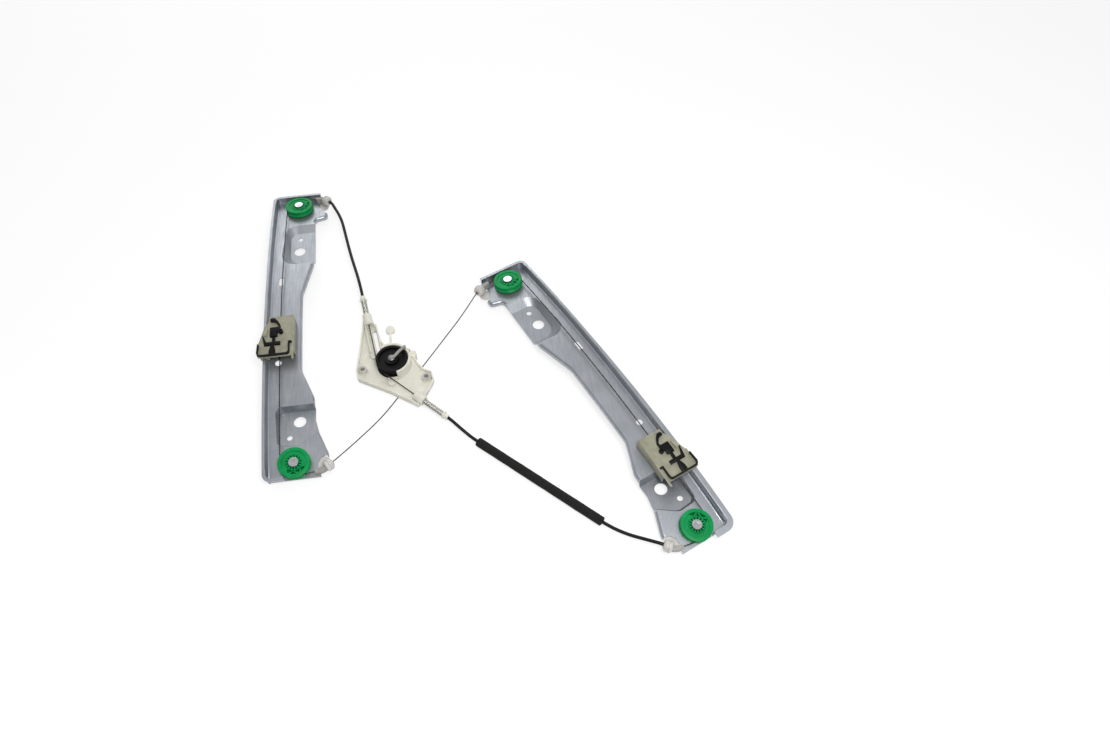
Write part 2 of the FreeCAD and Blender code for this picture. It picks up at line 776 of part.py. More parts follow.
def backwards(edges):
    """The same edges from the other end."""
    turned = []
    for edge in reversed(edges):
        low, high = edge.FirstParameter, edge.LastParameter
        ends = [edge.valueAt(high), edge.valueAt((low + high) / 2), edge.valueAt(low)]
        if isinstance(edge.Curve, Part.Line):
            turned.append(Part.LineSegment(ends[0], ends[2]).toShape())
        else:
            turned.append(Part.Arc(*ends).toShape())
    return turned


# The drum's cables leave it at these angles, one up to the first nozzle, one down to the second.
UPPER_LEAVE = 188.0
LOWER_LEAVE = 224.0
WOUND = 250.0


def drum_height_of(which):
    """Height of a cable on the drum."""
    middle = plain.plate_bottom + plain.plate_thickness + plain.seat_gap + plain.drum_height / 2
    return middle + which * plain.drum_pitch / 2


def drum_end(which):
    """The tangent point, the leaving direction and the wound arc of one of the drum's cables."""
    angle = math.radians(UPPER_LEAVE if which > 0 else LOWER_LEAVE)
    level = drum_height_of(which)
    radius = plain.drum_groove
    tangent = Vector(radius * math.cos(angle), radius * math.sin(angle), level)
    direction = Vector(which * math.sin(angle), -which * math.cos(angle), 0)
    turns = [angle + which * math.radians(WOUND) * share for share in (0, 0.5, 1)]
    wound = Part.Arc(*[Vector(radius * math.cos(a), radius * math.sin(a), level) for a in turns]).toShape()
    return tangent, direction, wound


# Along each of the drum's cables from its tangent point: the nozzle's ends, the spring's end and a straight run
UPPER_NOZZLE = (70.0, 88.0)
UPPER_SPRING_END = 116.0
UPPER_STRAIGHT = 156.0
LOWER_NOZZLE = (62.0, 78.0)
LOWER_SPRING_END = 112.0
LOWER_STRAIGHT = 126.0
CAP_LENGTH = 8.0
RUN_OUT = 4.0
BEND_MARGIN = 0.3

# The foam sleeve on the lower conduit's long straight run, and what the run has beyond it at each end
FOAM_LENGTH = 196.0
FOAM_START = 10.0
FOAM_END = 23.0

# Points of the conduits between guide and nozzle, chosen from the picture
UPPER_CONDUIT = [(-66.0, 281.0, 19.0), (-53.0, 203.0, 17.0)]
LOWER_RUN_START = Vector(97.0, -130.0, 6.6)
LOWER_RUN_WAY = Vector(165.0, -159.0, 0.0).normalize()
LOWER_RUN_END = LOWER_RUN_START + LOWER_RUN_WAY * (FOAM_START + FOAM_LENGTH + FOAM_END)
LOWER_CONDUIT = [tuple(LOWER_RUN_END), tuple(LOWER_RUN_START), (84.0, -117.0, 11.5)]
CROSS_CABLE = [(-58.0, -119.0, 8.0), (-20.0, -80.0, 2.2), (41.0, -2.0, 1.8), (100.0, 72.0, 7.0)]


def drum_route(corner_name, side, end_name, end, which, middle_points):
    """The points from a pulley's tangent to the drum's, and the radii of the bends."""
    tangent, corner, barrel = guide_points(corner_name, side, end_name, end)
    drum_tangent, direction, wound = drum_end(which)
    straight = UPPER_STRAIGHT if which > 0 else LOWER_STRAIGHT
    covered = (UPPER_SPRING_END if which > 0 else LOWER_SPRING_END) + CAP_LENGTH
    run_out = barrel + (barrel - corner).normalize() * RUN_OUT
    points = [tangent, corner, run_out] + [Vector(*point) for point in middle_points]
    points += [drum_tangent + direction * straight, drum_tangent]
    last = len(points) - 2
    rooms = {2: RUN_OUT - BEND_MARGIN, last: straight - covered - BEND_MARGIN}
    radii = [GUIDE_BEND]
    for index in range(2, last + 1):
        radii.append(bend_radius(*points[index - 1:index + 2], rooms.get(index, 1000.0)))
    return points, radii, wound


def make_drum_cable(label, conduit_label, corner_name, side, end_name, end, which, middle_points, carrier_at):
    """One of the two cables between a carrier and the drum, and its conduit."""
    points, radii, wound = drum_route(corner_name, side, end_name, end, which, middle_points)
    edges = rail_cable_edges(side, end, carrier_at, points[0]) + route_edges(points, radii) + [wound]
    new_feature(label, pipe(edges, plain.cable_radius))
    barrel = guide_points(corner_name, side, end_name, end)[2]
    drum_tangent, direction, wound = drum_end(which)
    reach = UPPER_SPRING_END if which > 0 else LOWER_SPRING_END
    seat = barrel - (barrel - points[1]).normalize() * CONDUIT_SEAT
    conduit_points = [seat] + points[2:-1] + [drum_tangent + direction * (reach + 1)]
    spine = route_edges(conduit_points, radii[1:])
    outer = pipe(spine, plain.conduit_radius)
    bore = pipe(spine, plain.conduit_bore)
    new_feature(conduit_label, outer.cut(bore))


def carrier_along(name):
    """A carrier's middle along its rail at rest."""
    up = plain.left_carrier_up if name == "left" else plain.right_carrier_up
    return up - plain.pulley_span / 2


def make_cables():
    make_drum_cable("lift_cable", "upper_conduit", "left", 1, "upper", 1, 1, UPPER_CONDUIT, carrier_along("left"))
    make_drum_cable("return_cable", "lower_conduit", "right", -1, "lower", -1, -1, LOWER_CONDUIT,
                    carrier_along("right"))
    left = guide_points("left", 1, "lower", -1)
    right = guide_points("right", -1, "upper", 1)
    run_outs = [barrel + (barrel - corner).normalize() * RUN_OUT for tangent, corner, barrel in (left, right)]
    points = [left[0], left[1], run_outs[0]] + [Vector(*point) for point in CROSS_CABLE]
    points += [run_outs[1], right[1], right[0]]
    last = len(points) - 3
    radii = [GUIDE_BEND]
    for index in range(2, last + 1):
        room = RUN_OUT - BEND_MARGIN if index in (2, last) else 1000.0
        radii.append(bend_radius(*points[index - 1:index + 2], room))
    radii.append(GUIDE_BEND)
    edges = rail_cable_edges(1, -1, carrier_along("left"), left[0]) + route_edges(points, radii)
    edges += backwards(rail_cable_edges(-1, 1, carrier_along("right"), right[0]))
    new_feature("cross_cable", pipe(edges, plain.cable_radius))


# Guides, foam sleeve, springs and caps on the cables' way


GUIDE_WIDTH = 3.0
GUIDE_TOP = 2.6
GUIDE_ENTRY = 7.0
BARREL_RADIUS = 3.6
SMALL_BARREL_RADIUS = 2.9


def guide_shape(side, end, corner, leaving, has_conduit):
    """A cable guide in its pulley's plane: a bent block on the web with a barrel at its exit."""
    across, along = side * corner[0], corner[1]
    angle = tangent_angle(corner, end)
    tangent = Vector(side * plain.groove_radius * math.cos(angle), plain.groove_radius * math.sin(angle), 0)
    turn = math.radians(leaving)
    here = Vector(across, along, 0)
    outgoing = Vector(side * math.cos(turn), math.sin(turn), 0)
    incoming = (here - tangent).normalize()
    path = route_edges([here - incoming * GUIDE_ENTRY, here, here + outgoing * (GUIDE_LENGTH - 5)], [GUIDE_BEND])
    outline = Part.Wire(path).makeOffset2D(GUIDE_WIDTH)
    body = Part.Face(outline).extrude(Vector(0, 0, plain.cable_height + GUIDE_TOP))
    body.translate(Vector(0, 0, -plain.cable_height))
    seat = here + outgoing * (GUIDE_LENGTH - CONDUIT_SEAT)
    barrel_radius = BARREL_RADIUS if has_conduit else SMALL_BARREL_RADIUS
    body = body.fuse(Part.makeCylinder(barrel_radius, CONDUIT_SEAT, seat, outgoing))
    way = route_edges([here - incoming * (GUIDE_ENTRY + 9), here, here + outgoing * (GUIDE_LENGTH + 1)], [GUIDE_BEND])
    body = body.cut(pipe(way, plain.cable_radius + plain.cable_gap))
    if has_conduit:
        body = body.cut(Part.makeCylinder(plain.conduit_radius, CONDUIT_SEAT + 1, seat, outgoing))
    return body


def make_guides():
    for side_name, side, end_name, end in CORNERS:
        across, along, leaving = GUIDE_AT[(side_name, end_name)]
        has_conduit = (side_name, end_name) in (("left", "upper"), ("right", "lower"))
        shape = guide_shape(side, end, (across, along), leaving, has_conduit)
        new_feature("%s_%s_guide" % (side_name, end_name), shape, pulley_placement(side, end))


def along_direction(start, direction):
    """A place whose Z runs along a direction."""
    return Placement(start, Rotation(Vector(0, 0, 1), direction))


def make_foam_sleeve():
    """A foam sleeve on the lower conduit's long straight run."""
    outer = doc.addObject("Part::Cylinder", "foam_outer")
    bind(outer, "Radius", bound.foam_radius)
    outer.Height = FOAM_LENGTH
    inner = doc.addObject("Part::Cylinder", "foam_inner")
    bind(inner, "Radius", bound.conduit_radius)
    inner.Height = FOAM_LENGTH
    sleeve = doc.addObject("Part::Cut", "foam_sleeve")
    sleeve.Label = "foam_sleeve"
    sleeve.Base = outer
    sleeve.Tool = inner
    sleeve.Placement = along_direction(LOWER_RUN_START + LOWER_RUN_WAY * FOAM_START, LOWER_RUN_WAY)
    nodes.append(sleeve)


SPRING_TURN = 2.4


def make_spring(label, length):
    """A close-wound spring as a tube with one ridge for each turn."""
    b = bound
    turns = round(length / SPRING_TURN)
    pitch = length / turns
    inner = b.spring_radius - 1.6
    corners = [(inner, 0), (b.spring_radius - 0.6, 0)]
    for index in range(turns):
        corners.append((b.spring_radius, pitch * (index + 0.5)))
        corners.append((b.spring_radius - 0.6, pitch * (index + 1)))
    corners.append((inner, length))
    return turned_body(label, corners)


def make_cap(label):
    """The plastic cap on a conduit's end, with a flange for the spring."""
    b = bound
    hole = b.cable_radius + b.cable_gap
    return turned_body(label, [
        (hole, 0), (b.spring_radius + 0.9, 0), (b.spring_radius + 0.9, 1.6), (b.spring_radius - 0.3, 1.6),
        (b.spring_radius - 0.9, CAP_LENGTH), (b.conduit_radius, CAP_LENGTH), (b.conduit_radius, 1), (hole, 1)])


def make_spring_ends():
    for name, which, nozzle, spring_end in (("upper", 1, UPPER_NOZZLE, UPPER_SPRING_END),
                                            ("lower", -1, LOWER_NOZZLE, LOWER_SPRING_END)):
        tangent, direction, wound = drum_end(which)
        first = nozzle[0] + SPRING_SEAT
        spring = make_spring(name + "_spring", spring_end - first)
        spring.Placement = along_direction(tangent + direction * first, direction)
        cap = make_cap(name + "_conduit_cap")
        cap.Placement = along_direction(tangent + direction * spring_end, direction)


# Drum housing


SPRING_SEAT = 4.0
HOUSING_OUTLINE = [
    (-38.5, 85.0), (-43.5, 40.0), (-50.5, -6.0), (-48.5, -18.5), (-22.0, -35.0), (-4.0, -46.0), (18.0, -62.0),
    (30.0, -71.5), (42.0, -62.0), (42.0, -56.0), (54.5, -34.0), (52.0, -20.0), (41.0, -14.0), (34.0, -3.0),
    (25.5, 21.0), (15.0, 29.0), (-9.0, 31.5), (-15.0, 44.0), (-20.0, 65.0), (-26.5, 85.0)]
LEFT_EAR = (-41.5, -4.5)
RIGHT_EAR = (44.0, -28.0)
WALL_HEIGHT = 5.0
HOUSING_WALL = 2.0
MOTOR_BOLTS_FROM = 25.0


def inset(corners, distance):
    """The corners moved inwards, for an outline that runs anticlockwise."""
    moved = []
    count = len(corners)
    for index in range(count):
        before = Vector(*corners[index - 1], 0)
        here = Vector(*corners[index], 0)
        after = Vector(*corners[(index + 1) % count], 0)
        incoming = (here - before).normalize()
        outgoing = (after - here).normalize()
        inward = Vector(-incoming.y - outgoing.y, incoming.x + outgoing.x, 0).normalize()
        share = inward.dot(Vector(-incoming.y, incoming.x, 0))
        point = here + inward * (distance / share)
        moved.append((point.x, point.y))
    return moved


def strip(start, direction, low, high, half_width):
    """The corners of a strip along a direction."""
    across = Vector(-direction.y, direction.x, 0) * half_width
    first = start + direction * low
    last = start + direction * high
    return [((p + q).x, (p + q).y) for p, q in ((first, across * -1), (last, across * -1), (last, across),
                                                 (first, across))]


def make_drum_housing():
    """The moulded housing: plate and rim, collar round the drum, ears, motor bosses and two nozzles."""
    b = bound
    body = doc.addObject("PartDesign::Body", "housing_moulding")
    floor = b.plate_bottom
    top = b.plate_bottom + b.plate_thickness
    outline = new_sketch(body, "housing_outline", level=floor)
    draw_polygon(outline, HOUSING_OUTLINE)
    pad(body, outline, b.plate_thickness + WALL_HEIGHT)
    hollow = new_sketch(body, "housing_hollow", level=top + WALL_HEIGHT)
    draw_polygon(hollow, inset(HOUSING_OUTLINE, HOUSING_WALL))
    pocket(body, hollow, WALL_HEIGHT)
    collar = new_sketch(body, "collar", level=floor)
    collar_inner = b.drum_radius + 1.2
    draw_circle(collar, 0, 0, collar_inner + b.collar_wall)
    pad(body, collar, b.plate_thickness + b.collar_height)
    room = new_sketch(body, "drum_room", level=top + b.collar_height)
    draw_circle(room, 0, 0, collar_inner)
    pocket(body, room, b.collar_height)
    opening = new_sketch(body, "collar_opening", level=top + b.collar_height)
    draw_polygon(opening, [(-40, -34), (10, -34), (3, -16), (-12, 10), (-17, 34), (-40, 34)])
    pocket(body, opening, b.collar_height - WALL_HEIGHT)
    sill = new_sketch(body, "collar_sill", level=top + WALL_HEIGHT)
    draw_polygon(sill, [(-30, -14), (-12, -30), (-4, -18), (-12, 10), (-17, 18), (-30, 18)])
    pocket(body, sill, WALL_HEIGHT)
    for index in range(3):
        angle = math.radians(MOTOR_BOLTS_FROM + 120 * index)
        across = b.motor_bolt_circle * math.cos(angle)
        up = b.motor_bolt_circle * math.sin(angle)
        boss = new_sketch(body, "motor_boss_%d" % index, level=0.0)
        draw_circle(boss, across, up, b.boss_radius)
        pad(body, boss, top + WALL_HEIGHT)
    for index in range(3):
        angle = math.radians(MOTOR_BOLTS_FROM + 120 * index)
        across = b.motor_bolt_circle * math.cos(angle)
        up = b.motor_bolt_circle * math.sin(angle)
        hole = new_sketch(body, "motor_hole_%d" % index, level=0.0)
        draw_circle(hole, across, up, b.motor_bolt)
        feature = pocket(body, hole, top + WALL_HEIGHT - 2)
        feature.Reversed = True
    for index, ear in enumerate((LEFT_EAR, RIGHT_EAR)):
        boss = new_sketch(body, "ear_boss_%d" % index, level=0.0)
        draw_circle(boss, ear[0], ear[1], b.ear_hole + 2.6)
        pad(body, boss, top + WALL_HEIGHT - 1)
        hole = new_sketch(body, "ear_hole_%d" % index, level=top + WALL_HEIGHT)
        draw_circle(hole, ear[0], ear[1], b.ear_hole)
        pocket(body, hole, top + WALL_HEIGHT)
    journal = new_sketch(body, "journal_hole", level=top)
    draw_circle(journal, 0, 0, b.journal_radius + b.running_gap)
    pocket(body, journal, b.plate_thickness)
    for which, nozzle in ((1, UPPER_NOZZLE), (-1, LOWER_NOZZLE)):
        tangent, direction, wound = drum_end(which)
        saddle = new_sketch(body, "saddle_%d" % (which + 1), level=floor)
        draw_polygon(saddle, strip(tangent, direction, nozzle[0], nozzle[1] - 6, plain.nozzle_radius * 0.8))
        pad(body, saddle, drum_height_of(which) - plain.plate_bottom)
    tangent, direction, wound = drum_end(1)
    beside = Vector(direction.y, -direction.x, 0)
    slot = new_sketch(body, "window_slot", level=top + 20)
    draw_polygon(slot, strip(tangent + beside * 5.0, direction, 24, nozzle_base(1) - 4, 2.4))
    pocket(body, slot, 40)
    for index, offset in enumerate((-5.5, 9.6)):
        rib = new_sketch(body, "channel_rib_%d" % index, level=top - 1)
        draw_polygon(rib, strip(tangent + beside * offset, direction, 24, nozzle_base(1), 0.9))
        pad(body, rib, 11.0)
    parts = [body]
    bores = []
    for which, nozzle in ((1, UPPER_NOZZLE), (-1, LOWER_NOZZLE)):
        tangent, direction, wound = drum_end(which)
        length = nozzle[1] - nozzle[0]
        for kind, radius, low, span, group in (
                ("nozzle", b.nozzle_radius, nozzle[0], length, parts),
                ("spring_bore", b.spring_radius + b.seat_gap, nozzle[0] + SPRING_SEAT, length, bores),
                ("cable_bore", b.cable_radius + 1.2, nozzle[0] - 12, length, bores)):
            rod = doc.addObject("Part::Cylinder", "%s_%d" % (kind, which + 1))
            bind(rod, "Radius", radius)
            rod.Height = span
            rod.Placement = along_direction(tangent + direction * low, direction)
            group.append(rod)
    solid = doc.addObject("Part::MultiFuse", "housing_with_nozzles")
    solid.Shapes = parts
    holes = doc.addObject("Part::MultiFuse", "nozzle_bores")
    holes.Shapes = bores
    housing = doc.addObject("Part::Cut", "drum_housing")
    housing.Label = "drum_housing"
    housing.Base = solid
    housing.Tool = holes
    nodes.append(housing)


def nozzle_base(which):
    return (UPPER_NOZZLE if which > 0 else LOWER_NOZZLE)[0]


def make_bushes():
    """Flanged bushes in the housing's ears."""
    b = bound
    sleeve = b.ear_hole - b.seat_gap
    top = b.plate_bottom + b.plate_thickness + WALL_HEIGHT - 1
    for name, ear in (("left_bush", LEFT_EAR), ("right_bush", RIGHT_EAR)):
        body = turned_body(name, [
            (b.bush_bore, 0.4), (sleeve, 0.4), (sleeve, top), (b.ear_hole + 1.9, top),
            (b.ear_hole + 1.6, top + 1.6), (b.bush_bore, top + 1.6)])
        body.Placement = Placement(Vector(ear[0], ear[1], 0), Rotation())


DRUM_GROOVES = (-2.5, -1.5, -0.5, 0.5, 1.5, 2.5)
SPLINE_TEETH = 8


def make_drum():
    """The cable drum: grooves, recessed face with a domed hub, journal and splined socket."""
    b = bound
    base = b.plate_bottom + b.plate_thickness + b.seat_gap
    top = base + b.drum_height
    middle = base + b.drum_height / 2
    root = b.drum_groove - b.cable_radius - b.cable_gap
    mouth = b.cable_radius + b.cable_gap * 1.5
    corners = [(0, b.plate_bottom), (b.journal_radius, b.plate_bottom), (b.journal_radius, base),
               (b.drum_radius, base)]
    for place in DRUM_GROOVES:
        level = middle + place * b.drum_pitch
        corners += [(b.drum_radius, level - mouth), (root, level - mouth * 0.75), (root, level + mouth * 0.75),
                    (b.drum_radius, level + mouth)]
    corners += [(b.drum_radius, top), (b.drum_radius - 3.5, top), (b.drum_radius - 4.2, top - 3),
                (10.2, top - 3), (9.4, top), (b.hub_recess, top), (b.hub_recess, top - 1.0), (0, top - 1.0)]
    body = turned_body("cable_drum", corners)
    socket = new_sketch(body, "spline_socket", level=b.plate_bottom)
    star = []
    for index in range(2 * SPLINE_TEETH):
        radius = b.spline_radius if index % 2 else b.spline_radius - 1.1
        angle = math.pi * index / SPLINE_TEETH
        star.append((radius * math.cos(angle), radius * math.sin(angle)))
    draw_polygon(socket, star)
    feature = pocket(body, socket, 14.0)
    feature.Reversed = True


def make_hub_cap():
    """The domed cap pressed on the drum's hub."""
    b = bound
    top = b.plate_bottom + b.plate_thickness + b.seat_gap + b.drum_height
    edge = b.hub_recess - b.seat_gap
    turned_body("hub_cap", [
        (0, top - 1.0), (edge, top - 1.0), (edge, top + 1.0), (edge - 0.5, top + 1.7), (edge - 1.7, top + 2.5),
        (edge - 3.2, top + 2.95), (0, top + 3.1)])


def make_drum_winding():
    """The turns of cable that stay on the drum, one ring in each filled groove."""
    rings = []
    middle = plain.plate_bottom + plain.plate_thickness + plain.seat_gap + plain.drum_height / 2
    for place in (-2.5, -1.5, 1.5, 2.5):
        level = middle + place * plain.drum_pitch
        rings.append(Part.makeTorus(plain.drum_groove, plain.cable_radius, Vector(0, 0, level)))
    new_feature("drum_winding", Part.makeCompound(rings))


def make_drum_retainer():
    """A curved finger from the collar over the drum's hub."""
    b = bound
    top = b.plate_bottom + b.plate_thickness + b.seat_gap + b.drum_height + 3.1 + b.seat_gap
    body = new_body("drum_retainer")
    finger = new_sketch(body, "finger", level=top)
    draw_polygon(finger, [(-2.0, -3.5), (1.2, -4.6), (6.5, -1.0), (12.5, 6.0), (19.6, 12.2), (20.6, 16.6),
                          (17.6, 15.4), (10.0, 8.6), (4.0, 1.8)])
    pad(body, finger, 1.8)
    leg = new_sketch(body, "finger_leg", level=top)
    draw_polygon(leg, [(17.9, 14.9), (19.4, 13.0), (20.2, 13.4), (20.4, 16.3), (18.9, 16.0)])
    feature = pad(body, leg, top - (b.plate_bottom + b.plate_thickness + b.collar_height))
    feature.Reversed = True


def make_harness_clip():
    """The harpoon clip on the collar that holds the wiring."""
    b = bound
    body = new_body("harness_clip")
    collar = b.drum_radius + 1.2 + b.collar_wall
    foot = collar + b.running_gap
    stem = new_sketch(body, "stem", level=16.0)
    draw_polygon(stem, [(-2.2, foot), (0.6, foot), (0.6, 47.0), (5.0, 49.0), (6.2, 52.5), (5.2, 57.5), (2.0, 60.6),
                        (-2.4, 60.6), (-5.6, 57.5), (-6.6, 52.5), (-5.4, 49.0), (-1.8, 47.0)])
    pad(body, stem, 4.0)


# Carriers. The deck's foot and the shoe's middle are shares of the carrier's length from its middle.

DECK_FOOT = -0.4
SHOE_AT = -0.2


def carrier_placement(side, at):
    """A carrier's place: built at the rail's middle with z = 0 on the web, carried to its rest."""
    lift = Placement(Vector(0, 0, plain.crown_height), Rotation())
    return rail_placement(side).multiply(travel_turn(at)).multiply(lift)


def along_carrier(corners, side):
    """Corners given across in mm and along as shares of the carrier's length."""
    return [(side * u, plain.carrier_length * share) for u, share in corners]


def make_carrier_body(name, side):
    """The moulded carrier: ribs that slide on the web under a thin slanted deck."""
    b = bound
    body = doc.addObject("PartDesign::Body", name + "_moulding")
    line = -b.groove_radius
    room = b.nipple_radius + 1.0
    ceiling = b.cable_height + b.nipple_radius
    plate = b.carrier_plate_bottom
    inner = b.carrier_inner_edge
    rib = 1.6
    cheek = -b.carrier_cheek_edge
    comb = [(cheek, -1), (line - room, -1), (line - room, ceiling), (line + room, ceiling), (line + room, -1),
            (line + room + 3.5, -1), (line + room + 3.5, plate - 2.0), (inner - rib, plate - 2.0), (inner - rib, -1),
            (inner, -1), (inner, plate + 0.5), (cheek, plate + 0.5)]
    section = new_sketch(body, name + "_section", "XZ_Plane")
    draw_polygon(section, [(side * u, w) for u, w in comb])
    pad(body, section, b.carrier_length, both_ways=True)
    foot = new_sketch(body, name + "_foot", level=plate + 0.5)
    draw_polygon(foot, along_carrier([(-60, RIBS_FOOT), (10, RIBS_FOOT), (10, -0.6), (-60, -0.6)], side))
    pocket(body, foot, plate + 1.5)
    outer = -b.carrier_outer_edge
    deck = [(inner, DECK_FOOT + 0.06), (inner, 0.5), (outer + 15.5, 0.5), (outer + 15, 0.4), (outer + 9, 0.26),
            (outer + 5, 0.06), (outer + 1, -0.11), (outer, DECK_FOOT + 0.07), (outer + 1.6, DECK_FOOT + 0.02),
            (outer + 5, DECK_FOOT), (inner - 5, DECK_FOOT), (inner - 1.5, DECK_FOOT + 0.02)]
    sketch = new_sketch(body, name + "_deck", level=plate)
    draw_polygon(sketch, along_carrier(deck, side))
    pad(body, sketch, b.carrier_plate)
    arm = [(inner - 2.6, -0.48), (inner, -0.48), (inner, DECK_FOOT + 0.1), (inner - 2.6, DECK_FOOT + 0.1)]
    sketch = new_sketch(body, name + "_arm", level=plate)
    draw_polygon(sketch, along_carrier(arm, side))
    pad(body, sketch, b.carrier_plate)
    top = plate + b.carrier_plate
    ridge = [(inner - 1.6, 0.0), (inner, 0.0), (inner, 0.5), (inner - 1.6, 0.5)]
    sketch = new_sketch(body, name + "_ridge", level=top - 0.5)
    draw_polygon(sketch, along_carrier(ridge, side))
    pad(body, sketch, 2.7)
    claw = [(outer + 8.5, 0.1), (outer + 12, 0.22), (outer + 15, 0.2), (outer + 13, 0.03)]
    sketch = new_sketch(body, name + "_claw", level=top - 0.5)
    draw_polygon(sketch, along_carrier(claw, side))
    pad(body, sketch, 4.0)
    web = doc.addObject("Part::Cylinder", name + "_web_arc")
    bind(web, "Radius", b.rail_arc_radius + b.slide_gap)
    web.Height = 140
    web.Placement = Placement(Vector(-70, 0, -plain.rail_arc_radius), Rotation(Vector(0, 1, 0), 90))
    web.setExpression("Placement.Base.z", (-b.rail_arc_radius).formula)
    carrier = doc.addObject("Part::Cut", name + "_carrier")
    carrier.Label = name + "_carrier"
    carrier.Base = body
    carrier.Tool = web
    nodes.append(carrier)
    return carrier


def make_glass_seat(name, side):
    """The black strip round the deck's lower edge that the glass's lower edge stands on."""
    b = bound
    outer = -plain.carrier_outer_edge + 0.4
    inner = -2.2
    wide = plain.seat_strip
    foot = DECK_FOOT + 0.008
    body = new_body(name + "_glass_seat")
    shape = [(outer, foot + 0.07), (outer + 1.6, foot + 0.02), (outer + 5, foot), (inner - 3.4, foot),
             (inner - 0.8, foot + 0.02), (inner, foot + 0.07), (inner, -0.14), (inner + 3, -0.14), (inner + 3, -0.115),
             (inner - wide, -0.115), (inner - wide, foot + 0.075), (inner - wide - 0.5, foot + 0.04),
             (inner - wide - 2.5, foot + 0.026), (outer + wide + 4, foot + 0.026), (outer + wide + 0.8, foot + 0.04),
             (outer + wide, foot + 0.075), (outer + wide + 1, -0.13), (outer + 1, -0.12)]
    sketch = new_sketch(body, name + "_seat_strip", level=b.carrier_plate_bottom + b.carrier_plate)
    draw_polygon(sketch, along_carrier(shape, side))
    pad(body, sketch, b.seat_height)
    return body


def make_glass_clip(name, side):
    """The black clip that snaps into the glass's hole: eye, spring arm, hook and foot."""
    b = bound
    level = b.carrier_plate_bottom + b.carrier_plate
    body = new_body(name + "_glass_clip")
    block = new_sketch(body, name + "_clip_block", level=level)
    draw_polygon(block, along_carrier([
        (-28.4, 0.02), (-18.6, 0.02), (-18.6, 0.12), (-15.0, 0.15), (-14.6, 0.27), (-18.0, 0.36), (-22.6, 0.43),
        (-26.6, 0.43), (-28.2, 0.41), (-28.2, 0.37), (-23.4, 0.36), (-19.6, 0.32), (-16.8, 0.26), (-17.0, 0.22),
        (-28.4, 0.22)], side))
    pad(body, block, 4.0)
    eye = new_sketch(body, name + "_clip_eye", level=level)
    middle = plain.carrier_length * 0.12
    draw_circle(eye, side * -14.2, middle, b.pin_eye)
    pad(body, eye, b.clip_eye_height)
    hole = new_sketch(body, name + "_clip_hole", level=level + b.clip_eye_height)
    draw_circle(hole, side * -14.2, middle, b.pin_hole)
    pocket(body, hole, b.clip_eye_height)
    bar = new_sketch(body, name + "_clip_bar", level=level)
    draw_polygon(bar, along_carrier([
        (-29.5, -0.35), (-21.1, -0.35), (-21.1, -0.27), (-23.1, -0.16), (-14.7, -0.16), (-14.7, -0.09), (-21.5, -0.09),
        (-21.5, 0.03), (-25.5, 0.03), (-25.5, -0.09), (-33.4, -0.09), (-37.5, 0.06), (-39.0, 0.06), (-36.0, -0.16),
        (-26.7, -0.16), (-29.5, -0.27)], side))
    pad(body, bar, 2.5)
    return body


def make_slide_shoe(name, side):
    """The low-friction shoe that hooks round the outer wall's lip."""
    b = bound
    face = -b.wall_offset
    gap = b.slide_gap
    lip_end = face - (b.narrow_lip if side > 0 else b.lip_width)
    under = b.wall_height - b.sheet
    bottom = b.wall_height - 4.8
    top = b.carrier_plate_bottom
    body = new_body(name + "_slide_shoe")
    section = [
        (-b.carrier_cheek_edge, bottom), (-b.carrier_cheek_edge, top), (lip_end - gap - 2.6, top),
        (lip_end - gap - 2.6, bottom), (face - gap, bottom), (face - gap, under - b.lip_bend - gap + 0.1),
        (face - b.lip_bend - gap + 0.1, under - gap), (lip_end - gap, under - gap),
        (lip_end - gap, b.wall_height + gap), (face + b.sheet + gap, b.wall_height + gap),
        (face + b.sheet + gap, bottom)]
    sketch = new_sketch(body, name + "_shoe_section", "XZ_Plane")
    draw_polygon(sketch, [(side * u, w) for u, w in section])
    pad(body, sketch, b.shoe_length, both_ways=True)
    return body


def shoe_placement(place):
    """The shoe's place on its carrier, near the deck's foot."""
    return place.multiply(Placement(Vector(0, plain.carrier_length * SHOE_AT, 0), Rotation()))


def make_nipple(name, side, at):
    """A crimped end on a cable, held in the carrier."""
    b = bound
    body = turned_body(name, [
        (b.cable_radius + b.cable_gap, 0), (b.nipple_radius, 0), (b.nipple_radius, b.nipple_length),
        (b.cable_radius + b.cable_gap, b.nipple_length)])
    start = Vector(-side * plain.groove_radius, plain.nipple_length / 2, plain.crown_height + plain.cable_height)
    body.Placement = rail_placement(side).multiply(travel_turn(at)).multiply(
        along_direction(start, Vector(0, -1, 0)))
    return body


def make_carriers():
    for name, side in (("left", 1), ("right", -1)):
        at = carrier_along(name)
        place = carrier_placement(side, at)
        for piece in (make_carrier_body(name, side), make_glass_seat(name, side), make_glass_clip(name, side)):
            piece.Placement = place
        make_slide_shoe(name, side).Placement = shoe_placement(place)
        make_nipple(name + "_upper_nipple", side, at + nipple_reach(1))
        make_nipple(name + "_lower_nipple", side, at + nipple_reach(-1))


make_rails()
make_pulleys()
make_cables()
make_guides()
make_foam_sleeve()
make_spring_ends()
make_drum_housing()
make_bushes()
make_drum()
make_hub_cap()
make_drum_winding()
make_drum_retainer()
make_harness_clip()
make_carriers()
doc.recompute()

for entry in doc.Objects:
    if "Invalid" in entry.State or "Error" in entry.State:
        raise RuntimeError("%s did not build" % entry.Name)
os.makedirs("parts", exist_ok=True)
for node in nodes:
    if node.Shape.isNull() or not node.Shape.isValid():
        raise RuntimeError("%s has no valid shape" % node.Label)
    print(node.Label, len(node.Shape.Solids), "solid(s)", round(node.Shape.Volume / 1000, 3), "cm3")
    node.Shape.exportStep("parts/%s.step" % node.Label)
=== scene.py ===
import json
import math

import bpy
from mathutils import Matrix, Vector


